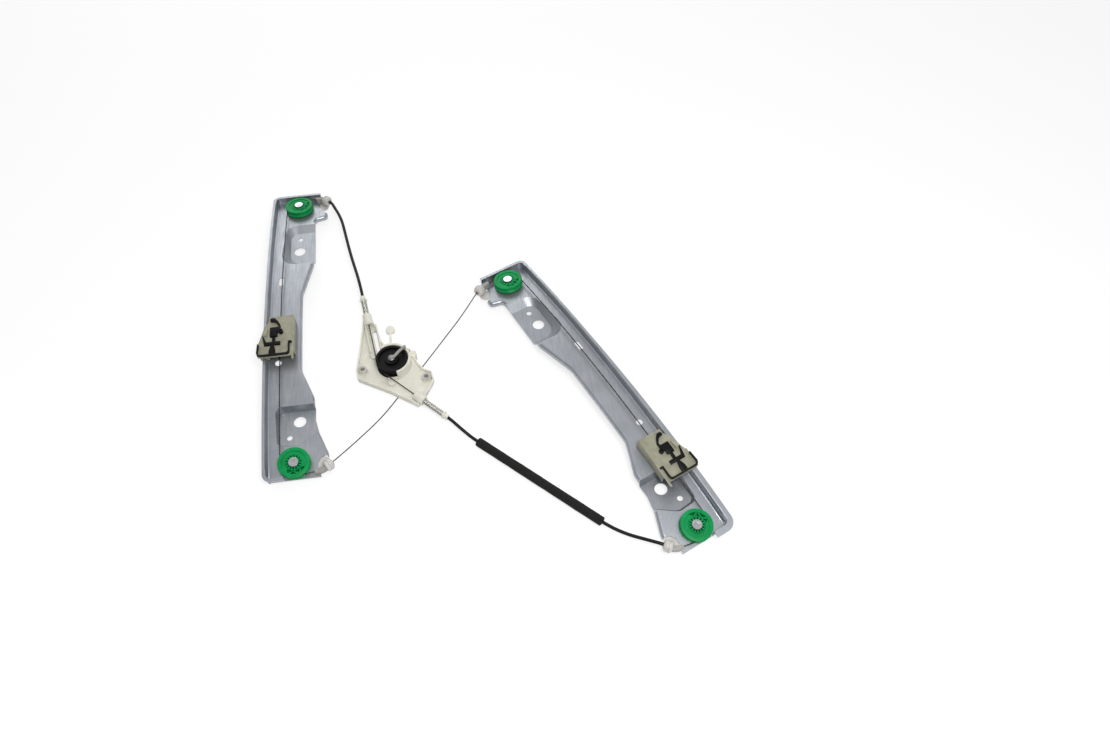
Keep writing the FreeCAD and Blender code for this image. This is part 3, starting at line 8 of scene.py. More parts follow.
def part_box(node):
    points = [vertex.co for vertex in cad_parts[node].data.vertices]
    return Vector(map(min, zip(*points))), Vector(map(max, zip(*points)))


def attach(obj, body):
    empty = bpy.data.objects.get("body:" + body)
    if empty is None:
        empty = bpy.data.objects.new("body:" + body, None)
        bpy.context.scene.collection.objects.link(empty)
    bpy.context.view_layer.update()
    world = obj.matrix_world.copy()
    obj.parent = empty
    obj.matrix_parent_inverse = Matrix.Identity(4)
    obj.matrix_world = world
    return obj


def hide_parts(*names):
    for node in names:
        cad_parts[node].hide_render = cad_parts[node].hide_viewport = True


# A cable window regulator on a pale table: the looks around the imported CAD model.
# Metres, +Z up, the origin on the cable drum's axis at the level of the table.

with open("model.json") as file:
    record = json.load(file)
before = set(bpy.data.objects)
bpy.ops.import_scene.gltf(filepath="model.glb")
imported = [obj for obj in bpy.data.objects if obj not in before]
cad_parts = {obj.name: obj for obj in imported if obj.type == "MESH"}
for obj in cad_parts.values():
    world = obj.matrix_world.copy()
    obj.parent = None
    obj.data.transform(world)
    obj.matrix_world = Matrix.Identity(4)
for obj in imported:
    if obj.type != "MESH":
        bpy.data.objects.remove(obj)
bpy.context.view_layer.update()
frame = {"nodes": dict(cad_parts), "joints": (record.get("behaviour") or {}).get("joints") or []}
MM = 0.001
# Corners closer together than this are one corner
MERGE = 0.002 * MM

# Finishes


def linear(code):
    """The linear colour of an sRGB hex code."""
    parts = [int(code[place:place + 2], 16) / 255 for place in (1, 3, 5)]
    return [part / 12.92 if part <= 0.04045 else ((part + 0.055) / 1.055) ** 2.4 for part in parts] + [1.0]


def per(size_mm):
    """A texture's scale for a feature of this size."""
    return 1000.0 / size_mm


def add_node(tree, kind, inputs=(), **settings):
    """A node with its settings; each input takes a value or another node's socket."""
    node = tree.nodes.new(kind)
    for name, value in settings.items():
        setattr(node, name, value)
    for name, value in dict(inputs).items():
        if isinstance(value, bpy.types.NodeSocket):
            tree.links.new(value, node.inputs[name])
        else:
            node.inputs[name].default_value = value
    return node


def start_material(name):
    """An empty material, and the object's own coordinates in metres."""
    material = bpy.data.materials.new(name)
    material.use_nodes = True
    tree = material.node_tree
    tree.nodes.clear()
    place = add_node(tree, "ShaderNodeTexCoord").outputs["Object"]
    return material, tree, place


def finish_material(tree, **sockets):
    """The shader and the output. Underscores stand for spaces in the sockets' names."""
    inputs = {name.replace("_", " "): value for name, value in sockets.items()}
    shader = add_node(tree, "ShaderNodeBsdfPrincipled", inputs)
    add_node(tree, "ShaderNodeOutputMaterial", {"Surface": shader.outputs[0]})


def galvanised_sheet(name, turn_deg):
    """Hot-dip galvanised deep-drawing steel, cold pressed: a fine grey spangle under rolling streaks."""
    material, tree, place = start_material(name)
    along = add_node(tree, "ShaderNodeMapping", {
        "Vector": place, "Rotation": (0, 0, -math.radians(turn_deg)), "Scale": (1.0, 0.035, 0.3)}).outputs[0]
    # Spangle crystals of about 1.6 mm, two tones of zinc grey
    spangle = add_node(tree, "ShaderNodeTexVoronoi", {"Vector": place, "Scale": per(1.6)}).outputs["Color"]
    crystal = add_node(tree, "ShaderNodeSeparateColor", {"Color": spangle}).outputs["Red"]
    # The mill's rolling streaks, about 1.1 mm apart, and the slow clouds of the zinc bath
    streak = add_node(tree, "ShaderNodeTexNoise", {
        "Vector": along, "Scale": per(1.1), "Detail": 4.0, "Roughness": 0.5}).outputs["Fac"]
    cloud = add_node(tree, "ShaderNodeTexNoise", {
        "Vector": place, "Scale": per(46.0), "Detail": 4.0, "Roughness": 0.6}).outputs["Fac"]
    tone = add_node(tree, "ShaderNodeMapRange", {
        "Value": add_node(tree, "ShaderNodeMath", {0: streak, 1: cloud}, operation="ADD").outputs[0],
        "From Min": 0.7, "From Max": 1.35}).outputs[0]
    sheet = add_node(tree, "ShaderNodeMix", {0: tone, 6: linear("#959a9f"), 7: linear("#b8bcc2")},
                     data_type="RGBA").outputs[2]
    colour = add_node(tree, "ShaderNodeMix", {
        0: add_node(tree, "ShaderNodeMath", {0: crystal, 1: 0.4}, operation="MULTIPLY").outputs[0],
        6: sheet, 7: linear("#abaeb6")}, data_type="RGBA").outputs[2]
    # The press polishes the streaks, so they are a little glossier than the crystals
    rough = add_node(tree, "ShaderNodeMapRange", {
        "Value": streak, "From Min": 0.3, "From Max": 0.7, "To Min": 0.5, "To Max": 0.34}).outputs[0]
    grain = add_node(tree, "ShaderNodeBump", {
        "Height": add_node(tree, "ShaderNodeMath", {0: streak, 1: crystal}, operation="ADD").outputs[0],
        "Strength": 0.14, "Distance": 0.05 * MM}).outputs[0]
    finish_material(tree, Base_Color=colour, Metallic=0.85, Roughness=rough, Normal=grain)
    return material


def bright_zinc(name, dark, light, rough_low, rough_high, size_mm):
    """Zinc-plated or die-cast metal: fine pitting and a slightly cloudy plate."""
    material, tree, place = start_material(name)
    cloud = add_node(tree, "ShaderNodeTexNoise", {
        "Vector": place, "Scale": per(size_mm), "Detail": 5.0, "Roughness": 0.6}).outputs["Fac"]
    colour = add_node(tree, "ShaderNodeMix", {0: cloud, 6: linear(dark), 7: linear(light)},
                      data_type="RGBA").outputs[2]
    rough = add_node(tree, "ShaderNodeMapRange", {
        "Value": cloud, "From Min": 0.3, "From Max": 0.7,
        "To Min": rough_low, "To Max": rough_high}).outputs[0]
    # Pits of half a millimetre, the grain that a barrel-plated part keeps
    grain = add_node(tree, "ShaderNodeTexNoise", {
        "Vector": place, "Scale": per(0.5), "Detail": 2.0}).outputs["Fac"]
    pits = add_node(tree, "ShaderNodeBump", {
        "Height": grain, "Strength": 0.2, "Distance": 0.03 * MM}).outputs[0]
    finish_material(tree, Base_Color=colour, Metallic=1.0, Roughness=rough, Normal=pits)
    return material


def steel_rope(name):
    """Stranded galvanised wire rope of 1.5 mm: strands lie across it at a slant."""
    material, tree, place = start_material(name)
    # A strand shows every 0.9 mm along the rope; drawn once per 5 mm so that it can be seen.
    # The texture's diagonal bands repeat after 2 pi / 10 of its own unit.
    strands = add_node(tree, "ShaderNodeTexWave", {
        "Vector": place, "Scale": per(5.064) * 2 * math.pi / 10, "Distortion": 0.3, "Detail": 1.0},
        wave_type="BANDS", bands_direction="DIAGONAL").outputs["Fac"]
    grime = add_node(tree, "ShaderNodeTexNoise", {
        "Vector": place, "Scale": per(18.0), "Detail": 3.0}).outputs["Fac"]
    # The colour is darker in the grooves between the strands, where the bump is low: painted shade, under the
    # grime's random tone.
    tone = add_node(tree, "ShaderNodeMath", {0: strands, 1: grime}, operation="MULTIPLY").outputs[0]
    colour = add_node(tree, "ShaderNodeMix", {0: tone, 6: linear("#38382f"), 7: linear("#84847c")},
                      data_type="RGBA").outputs[2]
    lay = add_node(tree, "ShaderNodeBump", {
        "Height": strands, "Strength": 0.7, "Distance": 0.15 * MM}).outputs[0]
    finish_material(tree, Base_Color=colour, Metallic=0.9, Roughness=0.42, Normal=lay)
    return material


def moulded_plastic(name, dark, light, roughness, glow, glow_mm, texture_mm, texture_strength, shine=0.5):
    """Injection-moulded plastic: faint flow clouds, a fine tool texture and light that bleeds in a little."""
    material, tree, place = start_material(name)
    cloud = add_node(tree, "ShaderNodeTexNoise", {
        "Vector": place, "Scale": per(14.0), "Detail": 3.0, "Roughness": 0.55}).outputs["Fac"]
    share = add_node(tree, "ShaderNodeMapRange", {
        "Value": cloud, "From Min": 0.3, "From Max": 0.7}).outputs[0]
    colour = add_node(tree, "ShaderNodeMix", {0: share, 6: linear(dark), 7: linear(light)},
                      data_type="RGBA").outputs[2]
    fine = add_node(tree, "ShaderNodeTexNoise", {
        "Vector": place, "Scale": per(texture_mm), "Detail": 2.0, "Roughness": 0.6}).outputs["Fac"]
    rough = add_node(tree, "ShaderNodeMapRange", {
        "Value": fine, "From Min": 0.3, "From Max": 0.7,
        "To Min": roughness - 0.06, "To Max": roughness + 0.06}).outputs[0]
    texture = add_node(tree, "ShaderNodeBump", {
        "Height": fine, "Strength": texture_strength, "Distance": 0.05 * MM}).outputs[0]
    finish_material(tree, Base_Color=colour, Roughness=rough, IOR=1.49, Normal=texture,
                    Subsurface_Weight=glow, Subsurface_Radius=(1.0, 0.9, 0.7), Subsurface_Scale=glow_mm * MM,
                    Specular_IOR_Level=shine)
    return material


def cell_foam(name):
    """Closed-cell foam sleeve: matt black with small open cells on the skived skin."""
    material, tree, place = start_material(name)
    cells = add_node(tree, "ShaderNodeTexVoronoi", {"Vector": place, "Scale": per(1.1)}).outputs["Distance"]
    wide = add_node(tree, "ShaderNodeTexNoise", {
        "Vector": place, "Scale": per(9.0), "Detail": 3.0}).outputs["Fac"]
    # The open cells are painted darker than the skin between them, where the bump sinks: painted shade in the
    # pores.
    colour = add_node(tree, "ShaderNodeMix", {0: cells, 6: linear("#0d0d0d"), 7: linear("#2a2a29")},
                      data_type="RGBA").outputs[2]
    height = add_node(tree, "ShaderNodeMath", {0: cells, 1: wide}, operation="ADD").outputs[0]
    pores = add_node(tree, "ShaderNodeBump", {
        "Height": height, "Strength": 0.8, "Distance": 0.5 * MM}).outputs[0]
    finish_material(tree, Base_Color=colour, Roughness=0.92, Specular_IOR_Level=0.25, Normal=pores)
    return material


FINISHES = {
    "galvanised_left": galvanised_sheet("galvanised_sheet_left", turn_deg=0.0),
    "galvanised_right": galvanised_sheet("galvanised_sheet_right", turn_deg=23.6),
    "plated_steel": bright_zinc(
        "zinc_plated_steel", "#b4b5b8", "#d2d3d5", rough_low=0.2, rough_high=0.3, size_mm=5.0),
    "spring_steel": bright_zinc(
        "bright_spring_wire", "#b2b2af", "#d8d8d4", rough_low=0.24, rough_high=0.36, size_mm=3.0),
    "wire_rope": steel_rope("stranded_wire_rope"),
    # Die-cast zinc, duller than plate: the nipples and the hub cap
    "zinc": bright_zinc(
        "die_cast_zinc", "#77787a", "#a5a6a8", rough_low=0.4, rough_high=0.55, size_mm=2.5),
    # Green acetal, moulded smooth: saturated, semi-matt, a soft edge of light
    "green_plastic": moulded_plastic(
        "green_acetal", "#008444", "#009650", roughness=0.4, glow=0.0, glow_mm=1.0,
        texture_mm=0.5, texture_strength=0.12, shine=0.2),
    # Natural polyamide: milky ivory, light goes a few millimetres in
    "natural_plastic": moulded_plastic(
        "natural_polyamide", "#d2d1c4", "#e3e1d6", roughness=0.42, glow=0.5, glow_mm=3.0,
        texture_mm=0.6, texture_strength=0.15),
    # Natural acetal: the carriers look darker and greyer than the housing
    "carrier_plastic": moulded_plastic(
        "natural_acetal", "#8b8976", "#a5a38f", roughness=0.4, glow=0.3, glow_mm=2.0,
        texture_mm=0.6, texture_strength=0.15),
    # Light grey polyamide: the bushes in the housing's ears
    "grey_plastic": moulded_plastic(
        "grey_polyamide", "#aeaca6", "#c4c2bc", roughness=0.45, glow=0.3, glow_mm=1.5,
        texture_mm=0.5, texture_strength=0.15),
    # Grey-white polyamide, a little cooler than the housing: the guides' grommets and foot plates
    "guide_plastic": moulded_plastic(
        "pale_grey_polyamide", "#bdbab6", "#d0cdca", roughness=0.42, glow=0.3, glow_mm=2.0,
        texture_mm=0.6, texture_strength=0.15),
    # Stone grey polyamide: the guides' blocks and the retaining finger
    "guide_block": moulded_plastic(
        "stone_grey_polyamide", "#8b8a86", "#a2a09c", roughness=0.45, glow=0.1, glow_mm=1.0,
        texture_mm=0.6, texture_strength=0.15),
    # Black glass-filled polyamide: satin, with a faintly mottled skin
    "black_plastic": moulded_plastic(
        "black_glass_filled_polyamide", "#030303", "#0c0c0b", roughness=0.44, glow=0.0, glow_mm=1.0,
        texture_mm=0.4, texture_strength=0.3, shine=0.2),
    # Extruded polyethylene: black and a little glossy, with a faint draw texture
    "conduit_jacket": moulded_plastic(
        "black_polyethylene_jacket", "#0b0b0a", "#171715", roughness=0.42, glow=0.0, glow_mm=1.0,
        texture_mm=0.9, texture_strength=0.2, shine=0.3),
    "black_foam": cell_foam("closed_cell_foam"),
    # Moulded rubber: matt black that grips the glass
    "black_rubber": moulded_plastic(
        "black_rubber", "#0a0a0a", "#181818", roughness=0.7, glow=0.0, glow_mm=1.0,
        texture_mm=0.4, texture_strength=0.35, shine=0.3),
}

SIDES = ("left", "right")
NODE_FINISHES = {
    "left_rail": "galvanised_left", "right_rail": "galvanised_right",
    "lift_cable": "wire_rope", "return_cable": "wire_rope", "cross_cable": "wire_rope",
    "drum_winding": "wire_rope",
    "upper_conduit": "conduit_jacket", "lower_conduit": "conduit_jacket", "foam_sleeve": "black_foam",
    "upper_spring": "spring_steel", "lower_spring": "spring_steel",
    "upper_conduit_cap": "natural_plastic", "lower_conduit_cap": "natural_plastic",
    "drum_housing": "natural_plastic", "harness_clip": "natural_plastic", "drum_retainer": "guide_block",
    "left_bush": "grey_plastic", "right_bush": "grey_plastic", "cable_drum": "black_plastic",
    "hub_cap": "zinc",
}
for side in SIDES:
    NODE_FINISHES.update({
        side + "_upper_pulley": "green_plastic", side + "_lower_pulley": "green_plastic",
        side + "_upper_rivet": "plated_steel", side + "_lower_rivet": "plated_steel",
        side + "_upper_guide": "guide_block", side + "_lower_guide": "guide_block",
        side + "_carrier": "carrier_plastic", side + "_slide_shoe": "carrier_plastic",
        side + "_glass_seat": "black_rubber", side + "_glass_clip": "black_plastic",
        side + "_upper_nipple": "zinc", side + "_lower_nipple": "zinc",
    })


def give_finish(piece, finish):
    """Puts one finish in all the slots of a CAD node."""
    for slot in piece.material_slots:
        slot.material = FINISHES[finish]


for node_name, finish in NODE_FINISHES.items():
    give_finish(frame["nodes"][node_name], finish)

# Pieces made here in place of the plain CAD ones


def only(piece):
    """Selects this object alone."""
    bpy.ops.object.select_all(action="DESELECT")
    piece.select_set(True)
    bpy.context.view_layer.objects.active = piece


def body_of(node_name):
    """The body that carries a node."""
    for side in SIDES:
        if node_name.startswith(side) and node_name.split("_")[1] not in ("rail", "bush", "upper", "lower"):
            return side + "_carriage"
        if node_name.startswith(side) and node_name.endswith("nipple"):
            return side + "_carriage"
        if node_name.startswith(side) and node_name.endswith("pulley"):
            return node_name
    return "drum" if node_name in ("cable_drum", "hub_cap", "drum_winding") else "frame"


def coat(piece, finish):
    """Gives a new piece this finish and no other."""
    piece.data.materials.clear()
    piece.data.materials.append(FINISHES[finish])


def apply_place():
    """Moves the selected piece's place, turn and scale into its mesh."""
    bpy.ops.object.transform_apply(location=True, rotation=True, scale=True)


def point_outwards():
    """Ends an edit with all faces looking outwards."""
    bpy.ops.mesh.select_all(action="SELECT")
    bpy.ops.mesh.normals_make_consistent(inside=False)
    bpy.ops.object.mode_set(mode="OBJECT")


def joint_of(body):
    """The joint that moves a body."""
    return [joint for joint in frame["joints"] if joint["child"] == body][0]


def stand_in_for(piece, node_name):
    """Puts a finished piece in a CAD node's place."""
    coat(piece, NODE_FINISHES[node_name])
    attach(piece, body_of(node_name))
    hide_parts(node_name)


def round_edges(node_name, width_mm, name):
    """A copy of a moulded piece with its edges rounded, as its mould leaves them."""
    source = frame["nodes"][node_name]
    piece = source.copy()
    piece.data = source.data.copy()
    piece.name = name
    bpy.context.collection.objects.link(piece)
    only(piece)
    bpy.ops.object.mode_set(mode="EDIT")
    bpy.ops.mesh.select_all(action="SELECT")
    bpy.ops.mesh.remove_doubles(threshold=MERGE)
    bpy.ops.mesh.dissolve_limited(angle_limit=math.radians(0.5))
    bpy.ops.object.mode_set(mode="OBJECT")
    bevel = piece.modifiers.new("edges", "BEVEL")
    bevel.width = width_mm * MM
    bevel.segments = 2
    bevel.limit_method = "ANGLE"
    bevel.angle_limit = math.radians(35)
    bpy.ops.object.modifier_apply(modifier=bevel.name)
    bpy.ops.object.shade_smooth_by_angle(angle=math.radians(38))
    stand_in_for(piece, node_name)


def settle(piece, start_mm, direction):
    """Carries a piece built along Z to its start and direction, and leaves the object at the origin."""
    only(piece)
    turn = Vector(direction).to_track_quat("Z", "Y").to_matrix().to_4x4()
    piece.matrix_world = Matrix.Translation(Vector(start_mm) * MM) @ turn
    apply_place()


def turn_piece(name, rings, sides, bored=False):
    """A turned piece along Z: a disc drawn out ring by ring, each given by radius and height in mm.
    A bored one starts from an open ring, and its last ring meets the first."""
    bpy.ops.object.select_all(action="DESELECT")
    radius, height = rings[0]
    bpy.ops.mesh.primitive_circle_add(vertices=sides, radius=radius * MM, location=(0, 0, height * MM),
                                      fill_type="NOTHING" if bored else "NGON")
    piece = bpy.context.object
    piece.name = name
    apply_place()
    bpy.ops.object.mode_set(mode="EDIT")
    bpy.ops.mesh.select_all(action="SELECT")
    for wide, high in rings[1:]:
        bpy.ops.mesh.extrude_region_move(TRANSFORM_OT_translate={"value": (0, 0, (high - height) * MM)})
        share = wide / radius
        bpy.ops.transform.resize(value=(share, share, 1), center_override=(0, 0, high * MM))
        radius, height = wide, high
    bpy.ops.mesh.select_all(action="SELECT")
    bpy.ops.mesh.remove_doubles(threshold=MERGE)
    point_outwards()
    return piece


# The radius of the rope's centre line on the drum, in mm
DRUM_GROOVE = 20.3
# The two cables' straight runs off the drum: the angle where each leaves, which way round, its height,
# and where its spring starts and ends along the run
RUNS = {"upper": (188.0, 1, 18.15, 74.0, 116.0), "lower": (224.0, -1, 15.35, 66.0, 112.0)}
# The springs' outside radius, the radius of their wire and the length of one turn, in mm
SPRING_RADIUS = 4.3
WIRE_RADIUS = 0.8
SPRING_PITCH = 3.3


def drum_run(name):
    """Where a cable leaves the drum, and its direction."""
    leave, which, level, first, last = RUNS[name]
    angle = math.radians(leave)
    start = Vector((DRUM_GROOVE * math.cos(angle), DRUM_GROOVE * math.sin(angle), level))
    return start, Vector((which * math.sin(angle), -which * math.cos(angle), 0)), first, last


def wind_spring(name):
    """A compression spring of 1.6 mm wire, wound with open turns."""
    tangent, direction, first, last = drum_run(name)
    coil = SPRING_RADIUS - WIRE_RADIUS
    turns = round((last - first) / SPRING_PITCH)
    bpy.ops.object.select_all(action="DESELECT")
    bpy.ops.mesh.primitive_circle_add(vertices=10, radius=WIRE_RADIUS * MM, fill_type="NOTHING",
                                      location=(coil * MM, 0, WIRE_RADIUS * MM), rotation=(math.pi / 2, 0, 0))
    spring = bpy.context.object
    spring.name = name + "_coil_spring"
    apply_place()
    winding = spring.modifiers.new("winding", "SCREW")
    winding.axis = "Z"
    winding.screw_offset = (last - first - 2 * WIRE_RADIUS) / turns * MM
    winding.iterations = turns
    winding.steps = 26
    winding.render_steps = 26
    bpy.ops.object.modifier_apply(modifier=winding.name)
    bpy.ops.object.mode_set(mode="EDIT")
    bpy.ops.mesh.select_all(action="SELECT")
    bpy.ops.mesh.remove_doubles(threshold=MERGE)
    bpy.ops.mesh.fill_holes(sides=0)
    point_outwards()
    bpy.ops.object.shade_smooth_by_angle(angle=math.radians(50))
    settle(spring, tangent + direction * first, direction)
    stand_in_for(spring, name + "_spring")


def turn_end_fitting(name):
    """The conduit's moulded end: a long stem inside the spring, a flange for it and a tapered grip."""
    tangent, direction, first, last = drum_run(name)
    reach = last - first
    piece = turn_piece(name + "_end_fitting", [
        (1.5, 2), (2.2, 2), (2.75, 3.5), (2.75, reach - 0.6), (3.2, reach), (4.9, reach), (5.2, reach + 0.3),
        (5.2, reach + 1.2), (4.9, reach + 1.6), (4.05, reach + 1.7), (4.0, reach + 2.6), (3.75, reach + 2.8),
        (3.75, reach + 3.6), (3.95, reach + 3.8), (3.9, reach + 4.9), (3.65, reach + 5.1), (3.6, reach + 6.0),
        (3.75, reach + 6.2), (3.5, reach + 7.6), (3.1, reach + 8), (2.1, reach + 8)], 40)
    bpy.ops.object.shade_smooth_by_angle(angle=math.radians(40))
    settle(piece, tangent + direction * first, direction)
    stand_in_for(piece, name + "_conduit_cap")


# A point on the foam sleeve's axis and its direction, how far on it starts, its length and radius, in mm
FOAM_FROM = (97.0, -130.0, 6.6)
FOAM_WAY = Vector((165.0, -159.0, 0.0)).normalized()
FOAM_START = 10.0
FOAM_LENGTH = 196.0
FOAM_RADIUS = 6.1


def skive_foam():
    """The foam sleeve: a soft tube, a little uneven along its length, with torn-off rounded ends."""
    rings = [(2.6, 0.4), (5.2, 0.0), (5.9, 0.5), (FOAM_RADIUS, 1.6)]
    steps = 90
    for index in range(1, steps):
        along = 1.6 + (FOAM_LENGTH - 3.2) * index / steps
        swell = 0.06 * math.sin(along * 0.21) + 0.05 * math.sin(along * 0.083 + 1.0)
        rings.append((FOAM_RADIUS + swell, along))
    rings += [(FOAM_RADIUS, FOAM_LENGTH - 1.6), (5.9, FOAM_LENGTH - 0.5),
              (5.2, FOAM_LENGTH), (2.6, FOAM_LENGTH - 0.4)]
    sleeve = turn_piece("foam_tube", rings, 44)
    clouds = bpy.data.textures.new("foam_clouds", "CLOUDS")
    clouds.noise_scale = 5.0 * MM
    uneven = sleeve.modifiers.new("uneven", "DISPLACE")
    uneven.texture = clouds
    uneven.strength = 0.22 * MM
    uneven.mid_level = 0.7
    only(sleeve)
    bpy.ops.object.modifier_apply(modifier=uneven.name)
    bpy.ops.object.shade_smooth_by_angle(angle=math.radians(45))
    settle(sleeve, Vector(FOAM_FROM) + FOAM_WAY * FOAM_START, FOAM_WAY)
    stand_in_for(sleeve, "foam_sleeve")


# The middle of each pulley's ribbed side at rest, in degrees
RIBBED_SIDES = {"left_upper": -25.0, "left_lower": -80.0, "right_upper": -50.0, "right_lower": 62.0}
# Half a pulley's thickness in mm, its small teeth and the gap beside each one in degrees
PULLEY_HALF = 4.75
TEETH = 14
TOOTH_GAP = 13.5
# The windows between the ribs: degrees from the ribbed side's middle, whether the point looks outward,
# the radius where each sits in mm, and how much wider than a regular triangle it is
WINDOWS = ((-40, True, 12.6, 1.45), (-13.5, False, 14.0, 1.75),
           (13.5, True, 12.6, 1.45), (40, False, 14.0, 1.75))
WINDOW_REACH = 2.8


def add_wedge(inner, outer, middle_deg, sweep_deg, low, high):
    """A block bent round the axis: an upright rectangle spun through an angle. Sizes in mm."""
    bpy.ops.object.select_all(action="DESELECT")
    bpy.ops.mesh.primitive_plane_add(size=1.0, rotation=(math.pi / 2, 0, 0),
                                     location=((inner + outer) / 2 * MM, 0, (low + high) / 2 * MM))
    wedge = bpy.context.object
    wedge.scale = ((outer - inner) * MM, (high - low) * MM, 1.0)
    apply_place()
    bpy.ops.object.mode_set(mode="EDIT")
    bpy.ops.mesh.select_all(action="SELECT")
    bpy.ops.mesh.spin(steps=3, angle=math.radians(sweep_deg), center=(0, 0, 0), axis=(0, 0, 1))
    point_outwards()
    wedge.rotation_euler = (0, 0, math.radians(middle_deg - sweep_deg / 2))
    apply_place()
    return wedge


def add_window(radius_mm, middle_deg, outward, wide, low, high):
    """A three-sided block whose point looks outward or inward."""
    bpy.ops.object.select_all(action="DESELECT")
    angle = math.radians(middle_deg)
    turn = angle + (-math.pi / 2 if outward else math.pi / 2)
    bpy.ops.mesh.primitive_cylinder_add(
        vertices=3, radius=WINDOW_REACH * MM, depth=(high - low) * MM, rotation=(0, 0, turn),
        location=(radius_mm * math.cos(angle) * MM, radius_mm * math.sin(angle) * MM, (low + high) / 2 * MM))
    window = bpy.context.object
    window.scale = (wide, 1.0, 1.0)
    apply_place()
    return window


def cut_out(piece, cutters):
    """Takes blocks out of a piece and removes the blocks."""
    only(cutters[0])
    for cutter in cutters:
        cutter.select_set(True)
    bpy.ops.object.join()
    block = bpy.context.object
    cut = piece.modifiers.new("pockets", "BOOLEAN")
    cut.operation = "DIFFERENCE"
    cut.solver = "EXACT"
    cut.object = block
    only(piece)
    bpy.ops.object.modifier_apply(modifier=cut.name)
    bpy.data.objects.remove(block)


def mould_pulley():
    """One pulley on the Z axis: a cable groove, a sunk ring, a ring of small teeth and a ribbed side."""
    pulley = turn_piece("pulley", [
        (4.7, -PULLEY_HALF), (19.9, -PULLEY_HALF), (20.4, -4.5), (20.6, -4.0), (20.6, -2.6),
        (20.3, -2.3), (17.3, -0.8),
        (16.95, -0.3), (16.95, 0.3), (17.3, 0.8), (20.3, 2.3), (20.6, 2.6), (20.6, 4.0), (20.4, 4.5),
        (19.9, PULLEY_HALF), (16.2, PULLEY_HALF), (15.8, 4.5), (15.7, 3.4), (11.0, 3.4), (10.8, 4.5),
        (10.5, PULLEY_HALF), (10.2, PULLEY_HALF), (9.9, 4.5), (9.8, 4.2), (7.0, 4.2), (6.95, 2.15),
        (4.7, 2.15), (4.7, -PULLEY_HALF)], 120, bored=True)
    pockets = [add_wedge(6.6, 9.6, 360 / TEETH * index, TOOTH_GAP, -1.5, 5.0) for index in range(TEETH)]
    for middle, outward, radius, wide in WINDOWS:
        pockets.append(add_window(radius, middle, outward, wide, -2.5, 6.0))
    cut_out(pulley, pockets)
    bpy.ops.object.shade_smooth_by_angle(angle=math.radians(32))
    return pulley


def pulley_axis(label):
    """A pulley's centre in metres and its axis, pointing up."""
    joint = joint_of(label + "_pulley")
    axis = Vector(joint["axis"])
    return Vector(joint["pos_m"]), axis if axis.z > 0 else -axis


def copy_to_pulley(pattern, label, ending, turn_deg):
    """A copy of a piece made round the Z axis, carried to a pulley's axis."""
    centre, axis = pulley_axis(label)
    piece = pattern.copy()
    piece.data = pattern.data.copy()
    piece.name = label + ending
    bpy.context.collection.objects.link(piece)
    only(piece)
    tilt = Vector((0, 0, 1)).rotation_difference(axis).to_matrix().to_4x4()
    piece.matrix_world = Matrix.Translation(centre) @ tilt @ Matrix.Rotation(math.radians(turn_deg), 4, "Z")
    apply_place()
    return piece


def set_rivet():
    """One rivet on the Z axis: a foot under the web, a shank, and a flat head with a shallow dimple."""
    rivet = turn_piece("rivet", [
        (5.6, -9.1), (6.4, -8.9), (7.1, -8.0), (7.2, -7.45), (4.6, -7.45), (4.6, 2.4), (6.2, 2.4), (6.5, 2.6),
        (6.5, 5.3), (6.4, 5.65), (6.1, 5.84), (2.3, 5.85), (2.0, 5.78), (1.8, 5.6)], 64)
    bpy.ops.object.shade_smooth_by_angle(angle=math.radians(24))
    return rivet


def place_pulleys():
    """A copy of the moulded pulley and its rivet at each rail end."""
    pulley_pattern = mould_pulley()
    rivet_pattern = set_rivet()
    for label, middle in RIBBED_SIDES.items():
        pulley = copy_to_pulley(pulley_pattern, label, "_pulley_moulding", middle)
        stand_in_for(pulley, label + "_pulley")
        rivet = copy_to_pulley(rivet_pattern, label, "_rivet_turned", 0.0)
        stand_in_for(rivet, label + "_rivet")
    bpy.data.objects.remove(pulley_pattern)
    bpy.data.objects.remove(rivet_pattern)


# Where each guide's bend is, the way its barrel points, and the barrel's radius, in mm
GUIDES = {
    "left_upper": ((-95.8, 330.25, 15.72), (0.7547, -0.6474, 0.1064), 3.6),
    "left_lower": ((-94.9, -154.79, 16.29), (0.829, 0.5518, 0.0907), 2.9),
    "right_upper": ((136.98, 115.88, 16.29), (-0.6371, -0.7672, 0.0736), 2.9),
    "right_lower": ((325.52, -325.67, 16.53), (-0.8755, 0.4661, 0.1278), 3.6),
}
# The foot plate's place from the bend: along the barrel, toward the pulley and down
SADDLE_ALONG = 6.8
SADDLE_INWARD = 8.4
SADDLE_DOWN = 8.9
# Where the grommet starts along the barrel
GROMMET_START = 4.4


def dress_guide(piece):
    """A piece of a guide's moulding: pale grey, and still with the rail."""
    coat(piece, "guide_plastic")
    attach(piece, "frame")


def turn_saddle(label):
    """The guide's round foot plate, which fills the rail's notch from below."""
    corner, way, _ = GUIDES[label]
    centre, axis = pulley_axis(label)
    here = Vector(corner) * MM
    inward = axis.cross(Vector(way)).normalized()
    if inward.dot(centre - here) < 0:
        inward = -inward
    saddle = turn_piece(label + "_saddle", [
        (8.4, 0), (9.2, 0.1), (9.5, 0.5), (9.5, 1.1), (9.2, 1.5), (8.7, 1.6), (4.6, 1.6),
        (4.3, 1.9), (4.0, 1.9)], 48)
    bpy.ops.object.shade_smooth_by_angle(angle=math.radians(40))
    place = here + (Vector(way) * SADDLE_ALONG + inward * SADDLE_INWARD - axis * SADDLE_DOWN) * MM
    settle(saddle, place / MM, axis)
    dress_guide(saddle)


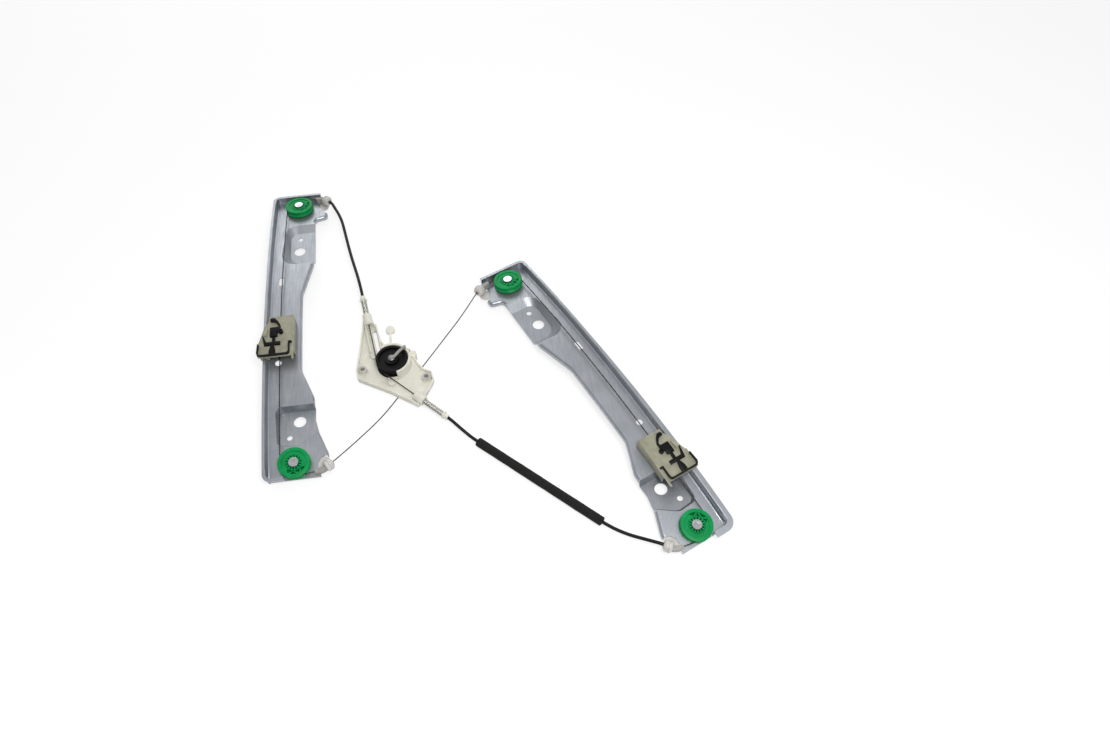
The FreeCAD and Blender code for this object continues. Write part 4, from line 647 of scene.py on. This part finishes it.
def turn_grommet(label):
    """The round grommet on a guide's barrel, waisted where the rail's notch holds it."""
    corner, way, barrel = GUIDES[label]
    inside = barrel - 0.15
    grommet = turn_piece(label + "_grommet", [
        (inside, 0), (5.0, 0), (6.4, 0.6), (7.3, 1.6), (7.8, 3.0), (7.7, 4.0), (7.0, 4.2), (6.9, 5.2),
        (7.6, 5.5), (7.8, 6.6), (7.4, 8.4), (6.5, 9.8), (5.2, 10.8), (barrel + 0.4, 11.2), (inside, 11.2),
        (inside, 0)], 48, bored=True)
    bpy.ops.object.shade_smooth_by_angle(angle=math.radians(40))
    settle(grommet, Vector(corner) + Vector(way) * GROMMET_START, way)
    dress_guide(grommet)


# The rope's radius, in mm
ROPE_RADIUS = 0.75


def thread_rope(side):
    """The rope from nipple to nipple through a carrier, which shows where the carrier has left."""
    joint = joint_of(side + "_carriage")
    pivot = Vector(joint["pos_m"])
    axis = Vector(joint["axis"]).normalized()
    ends = []
    for end in ("lower", "upper"):
        low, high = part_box("%s_%s_nipple" % (side, end))
        ends.append((Vector(low) + Vector(high)) / 2)
    arms = [(end - pivot) - axis * (end - pivot).dot(axis) for end in ends]
    way = 1 if arms[0].cross(arms[1]).dot(axis) > 0 else -1
    bpy.ops.object.select_all(action="DESELECT")
    across = axis.cross(arms[0]).to_track_quat("Z", "Y").to_euler()
    bpy.ops.mesh.primitive_circle_add(vertices=12, radius=ROPE_RADIUS * MM, fill_type="NOTHING",
                                      location=ends[0], rotation=across)
    rope = bpy.context.object
    rope.name = side + "_threaded_rope"
    apply_place()
    bpy.ops.object.mode_set(mode="EDIT")
    bpy.ops.mesh.select_all(action="SELECT")
    # Spin counts its angle the other way round the axis
    bpy.ops.mesh.spin(steps=16, angle=-way * arms[0].angle(arms[1]), center=pivot, axis=axis)
    bpy.ops.mesh.select_all(action="SELECT")
    bpy.ops.mesh.fill_holes(sides=0)
    point_outwards()
    bpy.ops.object.shade_smooth_by_angle(angle=math.radians(50))
    coat(rope, "wire_rope")
    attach(rope, "frame")


for side in SIDES:
    thread_rope(side)
place_pulleys()
for guide_label in GUIDES:
    turn_grommet(guide_label)
    turn_saddle(guide_label)
for run_name in RUNS:
    wind_spring(run_name)
    turn_end_fitting(run_name)
skive_foam()
round_edges("drum_housing", 0.45, "housing_moulding")
round_edges("harness_clip", 0.5, "harness_clip_moulding")
round_edges("drum_retainer", 0.3, "retainer_moulding")
for side in SIDES:
    round_edges(side + "_carrier", 0.4, side + "_carrier_moulding")
    round_edges(side + "_glass_seat", 0.3, side + "_seat_moulding")
    round_edges(side + "_glass_clip", 0.35, side + "_clip_moulding")
    round_edges(side + "_slide_shoe", 0.3, side + "_shoe_moulding")
    for end in ("upper", "lower"):
        guide = "%s_%s_guide" % (side, end)
        round_edges(guide, 0.35, guide + "_moulding")

# The table, the light and the camera


def make_table():
    """A wide flat table top, pale to the object's light and white to the camera."""
    bpy.ops.object.select_all(action="DESELECT")
    bpy.ops.mesh.primitive_plane_add(size=12.0, location=(0, 0, 0))
    table = bpy.context.object
    table.name = "table"
    material, tree, place = start_material("pale_table")
    # The laminate's paper tone drifts over about 400 mm
    drift = add_node(tree, "ShaderNodeTexNoise", {
        "Vector": place, "Scale": per(400.0), "Detail": 2.0}).outputs["Fac"]
    shade = add_node(tree, "ShaderNodeMix", {0: drift, 6: linear("#f0f0f1"), 7: linear("#f4f4f5")},
                     data_type="RGBA").outputs[2]
    top = add_node(tree, "ShaderNodeBsdfDiffuse", {"Color": shade}).outputs[0]
    # The camera and shiny metal see a white table that still takes a faint shadow
    thin = add_node(tree, "ShaderNodeBsdfDiffuse", {"Color": linear("#a0a0a0")}).outputs[0]
    glow = add_node(tree, "ShaderNodeEmission", {"Color": (1, 1, 1, 1), "Strength": 0.68}).outputs[0]
    white = add_node(tree, "ShaderNodeAddShader", {0: thin, 1: glow}).outputs[0]
    path = add_node(tree, "ShaderNodeLightPath")
    seen = add_node(tree, "ShaderNodeMath", {
        0: path.outputs["Is Camera Ray"], 1: path.outputs["Is Glossy Ray"]}, operation="MAXIMUM").outputs[0]
    both = add_node(tree, "ShaderNodeMixShader", {0: seen, 1: top, 2: white}).outputs[0]
    add_node(tree, "ShaderNodeOutputMaterial", {"Surface": both})
    table.data.materials.append(material)


def light_studio():
    """A pale surround with a soft lamp above the near side and a wider, weaker one behind."""
    world = bpy.data.worlds.new("studio")
    bpy.context.scene.world = world
    world.use_nodes = True
    tree = world.node_tree
    tree.nodes.clear()
    direction = add_node(tree, "ShaderNodeTexCoord").outputs["Generated"]
    # Bright above and behind, dark near the horizon on the near side
    share = add_node(tree, "ShaderNodeVectorMath", {0: direction, 1: (0.0, 0.7, 0.5)},
                     operation="DOT_PRODUCT").outputs["Value"]
    level = add_node(tree, "ShaderNodeMapRange", {
        "Value": share, "From Min": -0.3, "From Max": 0.85, "To Min": 0.1, "To Max": 0.78}).outputs[0]
    light = add_node(tree, "ShaderNodeBackground", {"Color": (1, 1, 1, 1), "Strength": level}).outputs[0]
    white = add_node(tree, "ShaderNodeBackground", {"Color": (1, 1, 1, 1), "Strength": 1.0}).outputs[0]
    seen = add_node(tree, "ShaderNodeLightPath").outputs["Is Camera Ray"]
    mixed = add_node(tree, "ShaderNodeMixShader", {0: seen, 1: light, 2: white}).outputs[0]
    add_node(tree, "ShaderNodeOutputWorld", {"Surface": mixed})
    # Name, place, width and depth in metres, watts
    lamps = (("key", (0.35, -0.85, 1.5), 0.6, 0.6, 19.0), ("back", (-0.13, 1.62, 0.9), 1.1, 0.8, 4.4))
    aim = Vector((0.1, 0.0, 0.0))
    for name, place, width, depth, watts in lamps:
        data = bpy.data.lights.new(name, "AREA")
        data.shape = "RECTANGLE"
        data.size = width
        data.size_y = depth
        data.energy = watts
        lamp = bpy.data.objects.new(name, data)
        lamp.location = place
        lamp.rotation_euler = (aim - Vector(place)).to_track_quat("-Z", "Y").to_euler()
        bpy.context.collection.objects.link(lamp)


def place_camera():
    """The photograph's own view, found from the rails' holes and the pulleys."""
    data = bpy.data.cameras.new("camera")
    data.lens = 29.19
    data.sensor_width = 36.0
    data.sensor_fit = "HORIZONTAL"
    data.clip_end = 30.0
    camera = bpy.data.objects.new("camera", data)
    camera.location = (0.1187, -0.7352, 1.0302)
    target = Vector((0.2209, -0.0346, 0.0))
    camera.rotation_euler = (target - camera.location).to_track_quat("-Z", "Y").to_euler()
    bpy.context.collection.objects.link(camera)
    bpy.context.scene.camera = camera


make_table()
light_studio()
place_camera()
view = bpy.context.scene.view_settings
view.view_transform = "Standard"
